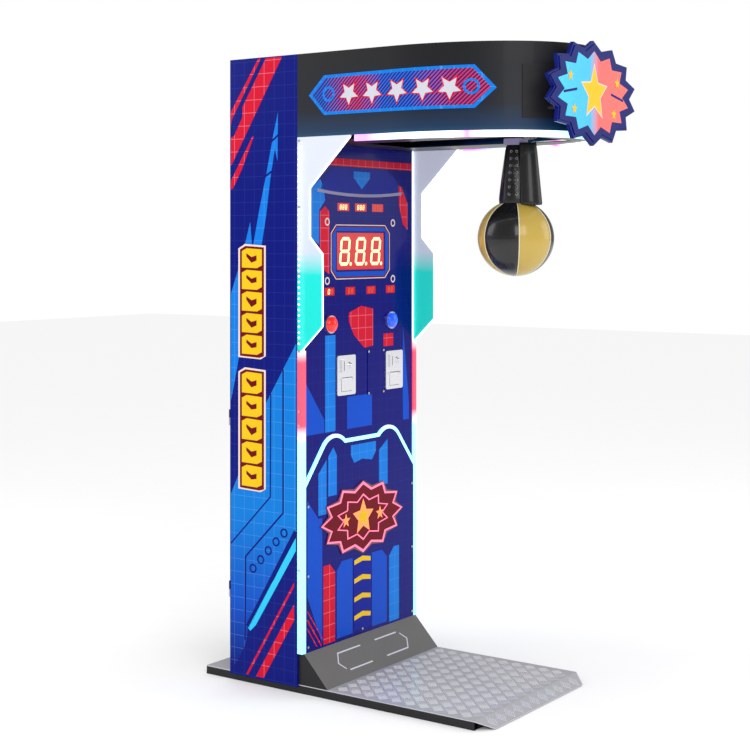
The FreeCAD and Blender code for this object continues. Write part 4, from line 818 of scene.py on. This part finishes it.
def digit(u, v, width, height, thick, lit="abcdefg", point=True, lean=0.12):
    """Outlines of a slanting seven-bar digit and its point; u, v is its middle."""
    w, h = width / 2 - thick / 2, height / 2 - thick / 2
    ends = {"a": (-w, h, w, h), "b": (w, 0, w, h), "c": (w, -h, w, 0), "d": (-w, -h, w, -h),
            "e": (-w, -h, -w, 0), "f": (-w, 0, -w, h), "g": (-w, 0, w, 0)}
    shapes = [segment(*ends[name], thick) for name in lit]
    if point:
        dot = thick * 0.55
        shapes.append([(w + thick * 1.35 + dot * math.cos(t), -h + dot * math.sin(t))
                       for t in [math.pi * k / 6 for k in range(12)]])
    return [[(u + x + lean * y, v + y) for x, y in shape] for shape in shapes]


def display_digits(finishes):
    """Lit digits of the main, mini and small windows."""
    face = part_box("display_filters")[0][1]
    big, lit, dim = [], [], []
    for x in (-0.097, -0.002, 0.093):
        big += digit(x, 1.5205, 0.060, 0.102, 0.0115)
    lit += digit(-0.192, 1.3785, 0.011, 0.019, 0.0024, "abcdef", False)
    for x, group in ((-0.106, lit), (0.0, lit), (0.106, dim)):
        for k in range(3):
            group += digit(x - 0.016 + 0.016 * k, 1.6785, 0.0105, 0.018, 0.0022, "abcdefg", False)
    for x in (-0.175, -0.072, -0.054, 0.054, 0.072, 0.178, 0.196):
        dim += digit(x, 1.3785, 0.011, 0.019, 0.0022, "abcdefg", False)
    layers = [(0, "digit_on", big), (0, "digit_on", lit), (0, "digit_dim", dim)]
    return artwork("display_digits", finishes, front_place(face), layers)


def tread_bars(finishes):
    """Five-bar groups, alternate ones turned, pressed up from the deck and its sloping lip."""
    bar_gap, bars = 0.0075, 5
    front = -0.692                       # where the deck's flat ends and its lip starts
    lip_drop, lip_run = 0.025, 0.050
    group = block((-0.0165, -0.0030, -0.0004), (0.0165, 0.0030, 0.0014))
    for vertex in group.data.vertices:
        if vertex.co.z > 0:
            vertex.co.x *= 0.80
            vertex.co.y *= 0.45
    group.data.transform(Matrix.Translation((0, -bar_gap * (bars - 1) / 2, 0)))
    row = group.modifiers.new("Row", "ARRAY")
    row.count = bars
    row.use_relative_offset = False
    row.use_constant_offset = True
    row.constant_offset_displace = (0, bar_gap, 0)
    apply_modifiers(group)
    slope = math.atan2(lip_drop, lip_run)
    groups = []

    def lay(place, turn):
        copy = group.copy()
        copy.data = group.data.copy()
        bpy.context.scene.collection.objects.link(copy)
        copy.data.transform(place @ Matrix.Rotation(math.radians(turn), 4, "Z"))
        groups.append(copy)

    for across in range(-11, 12):
        turn = 45 if across % 2 == 0 else -45
        for along in range(20):
            if (across + along) % 2 == 0:
                place = (across * TREAD_PITCH, front + 0.027 + along * TREAD_PITCH, DECK_TOP)
                lay(Matrix.Translation(place), turn)
        if across % 2 == 0:
            place = (across * TREAD_PITCH, front - lip_run / 2, DECK_TOP - lip_drop / 2)
            lay(Matrix.Translation(place) @ Matrix.Rotation(slope, 4, "X"), turn)
    bpy.data.objects.remove(group, do_unlink=True)
    # the bars take the lighter tread finish, a painted highlight
    return finish_piece(join(groups), "deck_tread_bars", finishes["tread_bar"], "cabinet")


def kick_outline(finishes):
    """Broken white outline on the sloping kick plate."""
    low, high = Vector((-0.107, 0.030)), Vector((-0.006, 0.137))     # plate's foot and head in (y, z)
    length = (high - low).length
    a, b = length * 0.26, length * 0.74
    m = (a + b) / 2
    runs = [[(-0.05, b), (-0.185, b), (-0.212, m), (-0.19, a + 0.008)], [(-0.175, a), (-0.04, a)],
            [(0.05, a), (0.185, a), (0.212, m), (0.19, b - 0.008)], [(0.175, b), (0.04, b)]]
    obj = drawing([stroke(run, 0.005) for run in runs])
    slope = math.atan2(high.y - low.y, high.x - low.x)
    obj.data.transform(Matrix.Translation((0, low.x, low.y)) @ Matrix.Rotation(slope, 4, "X"))
    return finish_piece(obj, "kick_plate_outline", finishes["pale"], "cabinet")


WING_OUTLINE = [(0.0, 1.1787), (-0.090, 1.2657), (-0.090, 1.5107), (-0.036, 1.5687), (-0.036, 1.7387),
                (-0.207, 1.9090)]


def wing_lamps(finishes, side, name):
    """A bright edge round the wing's free rim, and a row of lamps up its rear edge."""
    inside = side * (SKIN_X - 0.005)
    rim = tube_along([(inside, y + 0.001, z + 0.001) for y, z in WING_OUTLINE], 0.0042, False, 2)
    rim.data.materials.append(finishes["wing_edge"])
    parts = [rim]
    for k in range(LAMPS):
        z = 1.205 + LAMP_PITCH * k
        clear_selection()
        bpy.ops.mesh.primitive_uv_sphere_add(segments=10, ring_count=6, radius=0.0030,
                                             location=(side * (SKIN_X + 0.0002), 0.008, z))
        lamp = bpy.context.object
        apply_all(lamp)
        lamp.data.materials.append(finishes["led"])
        parts.append(lamp)
    return finish_piece(join(parts), name, None, "cabinet", smooth=50)


# ---------------------------------------------------------------- ball, neck and pad
def seam_place(angle, lift, reach):
    """A point on a meridian of the ball: lift is its angle above the middle."""
    return (BALL_MIDDLE.x + reach * math.cos(lift) * math.cos(angle),
            BALL_MIDDLE.y + reach * math.cos(lift) * math.sin(angle),
            BALL_MIDDLE.z + reach * math.sin(lift))


def leather_ball(finishes):
    """The ball's six gores, drawn in along their seams."""
    clear_selection()
    bpy.ops.mesh.primitive_uv_sphere_add(segments=96, ring_count=64, radius=BALL_R - LEATHER)
    ball = bpy.context.object
    ball.data.transform(Matrix.Rotation(SEAM_TURN, 4, "Z"))
    ball.data.materials.append(finishes["ball_leather"])
    ball.data.materials.append(finishes["tan_leather"])
    for vertex in ball.data.vertices:
        flat = math.hypot(vertex.co.x, vertex.co.y)
        angle = (math.atan2(vertex.co.y, vertex.co.x) - SEAM_TURN) % GORE
        near = min(angle, GORE - angle) * flat
        puff = 1.0 - 0.017 * math.exp(-(near / 0.006) ** 2)
        vertex.co *= puff
    for face in ball.data.polygons:
        angle = (math.atan2(face.center.y, face.center.x) - SEAM_TURN) % (2 * math.pi)
        face.material_index = 1 if int(angle / GORE) % 2 == 0 else 0
    ball.data.transform(Matrix.Translation(BALL_MIDDLE))
    finish_piece(ball, "leather_ball", None, "arm", smooth=60)
    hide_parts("ball")
    return ball


def ball_piping(finishes):
    """Piping along the ball's seams and round its foot."""
    end = 84                             # degrees above and below the middle where the seams stop
    seams = []
    for k in range(6):
        angle = SEAM_TURN + k * GORE
        lifts = [math.radians(-end + 2 * end * n / 40) for n in range(41)]
        points = [seam_place(angle, lift, BALL_R - 0.0030) for lift in lifts]
        seams.append(tube_along(points, PIPING_R, False, 2))
    turns = [2 * math.pi * n / 36 for n in range(36)]
    foot = [seam_place(t, math.radians(-end), BALL_R - 0.0028) for t in turns]
    seams.append(tube_along(foot, PIPING_R, True, 2))
    return finish_piece(join(seams), "ball_piping", finishes["piping"], "arm", smooth=60)


def neck_radius(z):
    """The neck's radius at a height."""
    low, high = NECK[0][2], NECK[1][2]
    part = max(0.0, (z - low) / (high - low))
    return NECK_FOOT_R - (NECK_FOOT_R - NECK_TOP_R) * part


def neck_cover(finishes):
    """Leather sleeve over the neck, with a rolled foot and top."""
    low, high = NECK[0][2] + 0.0003, NECK[1][2]
    rings = 24
    x, y = BALL_MIDDLE.x, BALL_MIDDLE.y
    clear_selection()
    bpy.ops.mesh.primitive_cylinder_add(vertices=64, radius=1.0, depth=high - low, end_fill_type="NGON",
                                        location=(x, y, (low + high) / 2))
    cover = bpy.context.object
    apply_all(cover)
    take(cover)
    bpy.ops.object.mode_set(mode="EDIT")
    for k in range(1, rings):
        bpy.ops.mesh.select_all(action="SELECT")
        bpy.ops.mesh.bisect(plane_co=(0, 0, low + (high - low) * k / rings), plane_no=(0, 0, 1))
    bpy.ops.object.mode_set(mode="OBJECT")
    for vertex in cover.data.vertices:
        radius = neck_radius(vertex.co.z)
        angle = math.atan2(vertex.co.y - y, vertex.co.x - x)
        part = (vertex.co.z - low) / (high - low)
        pucker = 0.0011 * math.sin(9 * angle + 5 * part) * math.sin(math.pi * part)
        roll = -0.0030 * (math.exp(-(part / 0.04) ** 2) + math.exp(-((1 - part) / 0.04) ** 2))
        reach = radius + pucker + roll - LEATHER
        vertex.co.x = x + reach * math.cos(angle)
        vertex.co.y = y + reach * math.sin(angle)
    finish_piece(cover, "neck_cover", finishes["black_leather"], "arm", smooth=50)
    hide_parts("neck_skirt")
    return cover


def neck_lacing(finishes):
    """Crossed lace and its eyelets down the left of the neck cover."""
    x, y = BALL_MIDDLE.x, BALL_MIDDLE.y
    middle, spread = math.radians(200), 0.24
    levels = [NECK[0][2] + 0.030 + 0.0240 * k for k in range(7)]
    parts = []
    for k, z in enumerate(levels):
        for hand in (-1, 1):
            angle = middle + hand * spread
            r = neck_radius(z) + 0.0002
            clear_selection()
            bpy.ops.mesh.primitive_torus_add(major_radius=0.0038, minor_radius=0.0011, major_segments=18,
                                             minor_segments=8)
            eye = bpy.context.object
            eye.data.transform(Matrix.Translation((x + r * math.cos(angle), y + r * math.sin(angle), z))
                               @ Matrix.Rotation(angle, 4, "Z") @ Matrix.Rotation(math.pi / 2, 4, "Y"))
            eye.data.materials.append(finishes["zinc"])
            parts.append(eye)
            if k + 1 < len(levels):
                points = []
                for n in range(9):
                    share = n / 8
                    turn = middle + hand * spread * (1 - 2 * share)
                    height = z + (levels[k + 1] - z) * share
                    over = LACE_R if hand > 0 else 0
                    out = neck_radius(height) + LACE_R + 0.0014 * math.sin(math.pi * share) + over
                    points.append((x + out * math.cos(turn), y + out * math.sin(turn), height))
                lace = tube_along(points, LACE_R, False, 2)
                lace.data.materials.append(finishes["rubber"])
                parts.append(lace)
    return finish_piece(join(parts), "neck_lacing", None, "arm", smooth=50)


def pad_cover(finishes):
    """Half-round leather pad on the player's side of the neck, open at its rear."""
    low, high = PAD[0][2], PAD[1][2]
    x, y = BALL_MIDDLE.x, BALL_MIDDLE.y
    clear_selection()
    bpy.ops.mesh.primitive_grid_add(x_subdivisions=40, y_subdivisions=34, size=1.0)
    shell = bpy.context.object
    for vertex in shell.data.vertices:
        across, up = vertex.co.x * 2.0, vertex.co.y + 0.5
        z = low + 0.001 + (high - low - 0.002) * up
        half = 0.0462 - 0.0115 * up
        back = 0.0430 - 0.0120 * up
        front = 0.0968 - 0.0210 * up
        turn = across * math.radians(88)
        edge = min(1 - abs(across), min(up, 1 - up) * 4)
        soft = 0.0016 * (1 - min(1.0, edge / 0.12) ** 0.5)
        vertex.co.x = x + (half - soft) * math.sin(turn)
        vertex.co.y = y - back - (front - back - soft) * math.cos(turn)
        vertex.co.z = z
    take(shell)
    thick = shell.modifiers.new("Thick", "SOLIDIFY")
    thick.thickness = 0.0035
    thick.offset = -1
    smooth = shell.modifiers.new("Soft", "BEVEL")
    smooth.width = 0.0012
    smooth.segments = 2
    smooth.limit_method = "ANGLE"
    apply_modifiers(shell)
    bpy.ops.object.mode_set(mode="EDIT")
    bpy.ops.mesh.select_all(action="SELECT")
    bpy.ops.mesh.normals_make_consistent(inside=False)
    bpy.ops.object.mode_set(mode="OBJECT")
    finish_piece(shell, "arm_pad_cover", finishes["black_leather"], "arm", smooth=50)
    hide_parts("arm_pad")
    return shell


# ---------------------------------------------------------------- stage
def build_stage():
    """Pale floor, soft lights and the camera."""
    clear_selection()
    bpy.ops.mesh.primitive_plane_add(size=1.0, location=(0, 0, 0))
    floor = bpy.context.object
    floor.name = "studio_floor"
    floor.scale = (40, 40, 1)
    apply_all(floor)
    floor.data.materials.append(finish("Studio Floor", (0.93, 0.93, 0.93), 0.7, specular=0.0, variation=0.02,
                                       grain=0.02))
    for name, place, target, size, power in (
            ("key_light", (-3.4, -4.4, 3.6), (0, -0.2, 1.1), 2.6, 75),
            ("fill_light", (3.4, -3.6, 2.6), (0, 0, 1.1), 2.6, 30),
            ("rear_light", (-2.2, 3.2, 3.2), (0, 0, 1.3), 2.4, 40)):
        clear_selection()
        bpy.ops.object.light_add(type="AREA", location=place)
        light = bpy.context.object
        light.name = name
        light.data.size = size
        light.data.energy = power
        light.rotation_euler = (Vector(target) - Vector(place)).to_track_quat("-Z", "Y").to_euler()
    clear_selection()
    level, heading = math.pi / 2, math.radians(-54.75)
    bpy.ops.object.camera_add(location=(-4.504, -3.2455, 1.553), rotation=(level, 0, heading))
    camera = bpy.context.object
    camera.name = "studio_camera"
    camera.data.lens = 73.56
    camera.data.sensor_width = 36.0
    camera.data.shift_y = -0.177
    camera.data.dof.use_dof = False
    scene = bpy.context.scene
    scene.camera = camera
    scene.view_settings.view_transform = "Standard"
    world = bpy.data.worlds.new("Studio World") if scene.world is None else scene.world
    scene.world = world
    world.use_nodes = True
    backdrop = world.node_tree.nodes["Background"]
    backdrop.inputs["Color"].default_value = (1.0, 1.0, 1.0, 1.0)
    tree = world.node_tree
    mirror = add(tree, "ShaderNodeLightPath").outputs["Is Glossy Ray"]
    dimmed = math_node(tree, "SUBTRACT", 1.0, math_node(tree, "MULTIPLY", mirror, 0.72))
    tree.links.new(dimmed, backdrop.inputs["Strength"])


# ---------------------------------------------------------------- operators
FINISHES = {}


def ready_finishes():
    """The finishes, made the first time they are asked for."""
    if not FINISHES:
        FINISHES.update(make_finishes())
    return FINISHES


class PUNCH_OT_finishes(bpy.types.Operator):
    """Paint the frame's own parts"""
    bl_idname = "punch.finishes"
    bl_label = "Finishes"

    def execute(self, context):
        paint_frame(ready_finishes())
        return {"FINISHED"}


class PUNCH_OT_side_artwork(bpy.types.Operator):
    """Print the two side panels"""
    bl_idname = "punch.side_artwork"
    bl_label = "Side Artwork"

    def execute(self, context):
        side_artwork(ready_finishes(), -1, "side_artwork_left")
        side_artwork(ready_finishes(), 1, "side_artwork_right")
        return {"FINISHED"}


class PUNCH_OT_header_badges(bpy.types.Operator):
    """Wrap a star badge round each side of the header"""
    bl_idname = "punch.header_badges"
    bl_label = "Header Badges"

    def execute(self, context):
        header_badge(ready_finishes(), -1, "header_badge_left")
        header_badge(ready_finishes(), 1, "header_badge_right")
        return {"FINISHED"}


class PUNCH_OT_front_artwork(bpy.types.Operator):
    """Print the upper and lower front panels"""
    bl_idname = "punch.front_artwork"
    bl_label = "Front Artwork"

    def execute(self, context):
        upper_artwork(ready_finishes())
        lower_artwork(ready_finishes())
        return {"FINISHED"}


class PUNCH_OT_emblem(bpy.types.Operator):
    """Draw the lit emblem on the lower panel"""
    bl_idname = "punch.emblem"
    bl_label = "Front Emblem"

    def execute(self, context):
        emblem_artwork(ready_finishes())
        return {"FINISHED"}


class PUNCH_OT_sign(bpy.types.Operator):
    """Draw the star burst on the sign"""
    bl_idname = "punch.sign"
    bl_label = "Top Sign"

    def execute(self, context):
        sign_artwork(ready_finishes())
        return {"FINISHED"}


class PUNCH_OT_digits(bpy.types.Operator):
    """Light the display digits"""
    bl_idname = "punch.digits"
    bl_label = "Digits"

    def execute(self, context):
        display_digits(ready_finishes())
        return {"FINISHED"}


class PUNCH_OT_deck(bpy.types.Operator):
    """Press the tread bars and print the kick plate"""
    bl_idname = "punch.deck"
    bl_label = "Deck and Kick Plate"

    def execute(self, context):
        tread_bars(ready_finishes())
        kick_outline(ready_finishes())
        return {"FINISHED"}


class PUNCH_OT_wing_lamps(bpy.types.Operator):
    """Light the wings' rims and lamp rows"""
    bl_idname = "punch.wing_lamps"
    bl_label = "Wing Lamps"

    def execute(self, context):
        wing_lamps(ready_finishes(), -1, "wing_lamps_left")
        wing_lamps(ready_finishes(), 1, "wing_lamps_right")
        return {"FINISHED"}


class PUNCH_OT_ball(bpy.types.Operator):
    """Sew the two-colour leather ball and its piping"""
    bl_idname = "punch.ball"
    bl_label = "Leather Ball"

    def execute(self, context):
        leather_ball(ready_finishes())
        ball_piping(ready_finishes())
        return {"FINISHED"}


class PUNCH_OT_neck(bpy.types.Operator):
    """Cover and lace the neck, and pad its front"""
    bl_idname = "punch.neck"
    bl_label = "Neck and Pad"

    def execute(self, context):
        neck_cover(ready_finishes())
        neck_lacing(ready_finishes())
        pad_cover(ready_finishes())
        return {"FINISHED"}


class PUNCH_OT_stage(bpy.types.Operator):
    """Set the floor, lights and camera"""
    bl_idname = "punch.stage"
    bl_label = "Studio Stage"

    def execute(self, context):
        build_stage()
        return {"FINISHED"}


OPERATORS = [PUNCH_OT_finishes, PUNCH_OT_side_artwork, PUNCH_OT_header_badges, PUNCH_OT_front_artwork,
             PUNCH_OT_emblem, PUNCH_OT_sign, PUNCH_OT_digits, PUNCH_OT_deck, PUNCH_OT_wing_lamps,
             PUNCH_OT_ball, PUNCH_OT_neck, PUNCH_OT_stage]


class PUNCH_PT_panel(bpy.types.Panel):
    """Lists the machine's pieces"""
    bl_idname = "PUNCH_PT_panel"
    bl_label = "Punch Machine"
    bl_space_type = "VIEW_3D"
    bl_region_type = "UI"
    bl_category = "Punch Machine"

    def draw(self, context):
        layout = self.layout
        for group in (context.scene.punch_machine_colours, context.scene.punch_machine_lights):
            box = layout.box()
            for name in group.bl_rna.properties.keys():
                if name not in ("rna_type", "name"):
                    box.prop(group, name)
        for operator in OPERATORS:
            layout.operator(operator.bl_idname)


CLASSES = [PunchMachineColours, PunchMachineLights, *OPERATORS, PUNCH_PT_panel]


def register():
    for cls in CLASSES:
        bpy.utils.register_class(cls)
    bpy.types.Scene.punch_machine_colours = bpy.props.PointerProperty(type=PunchMachineColours)
    bpy.types.Scene.punch_machine_lights = bpy.props.PointerProperty(type=PunchMachineLights)


def unregister():
    del bpy.types.Scene.punch_machine_lights
    del bpy.types.Scene.punch_machine_colours
    for cls in reversed(CLASSES):
        bpy.utils.unregister_class(cls)


def main():
    clear_selection()
    register()
    bpy.ops.punch.finishes()
    bpy.ops.punch.side_artwork()
    bpy.ops.punch.header_badges()
    bpy.ops.punch.front_artwork()
    bpy.ops.punch.emblem()
    bpy.ops.punch.sign()
    bpy.ops.punch.digits()
    bpy.ops.punch.deck()
    bpy.ops.punch.wing_lamps()
    bpy.ops.punch.ball()
    bpy.ops.punch.neck()
    bpy.ops.punch.stage()
    clear_selection()


if __name__ == "__main__":
    main()
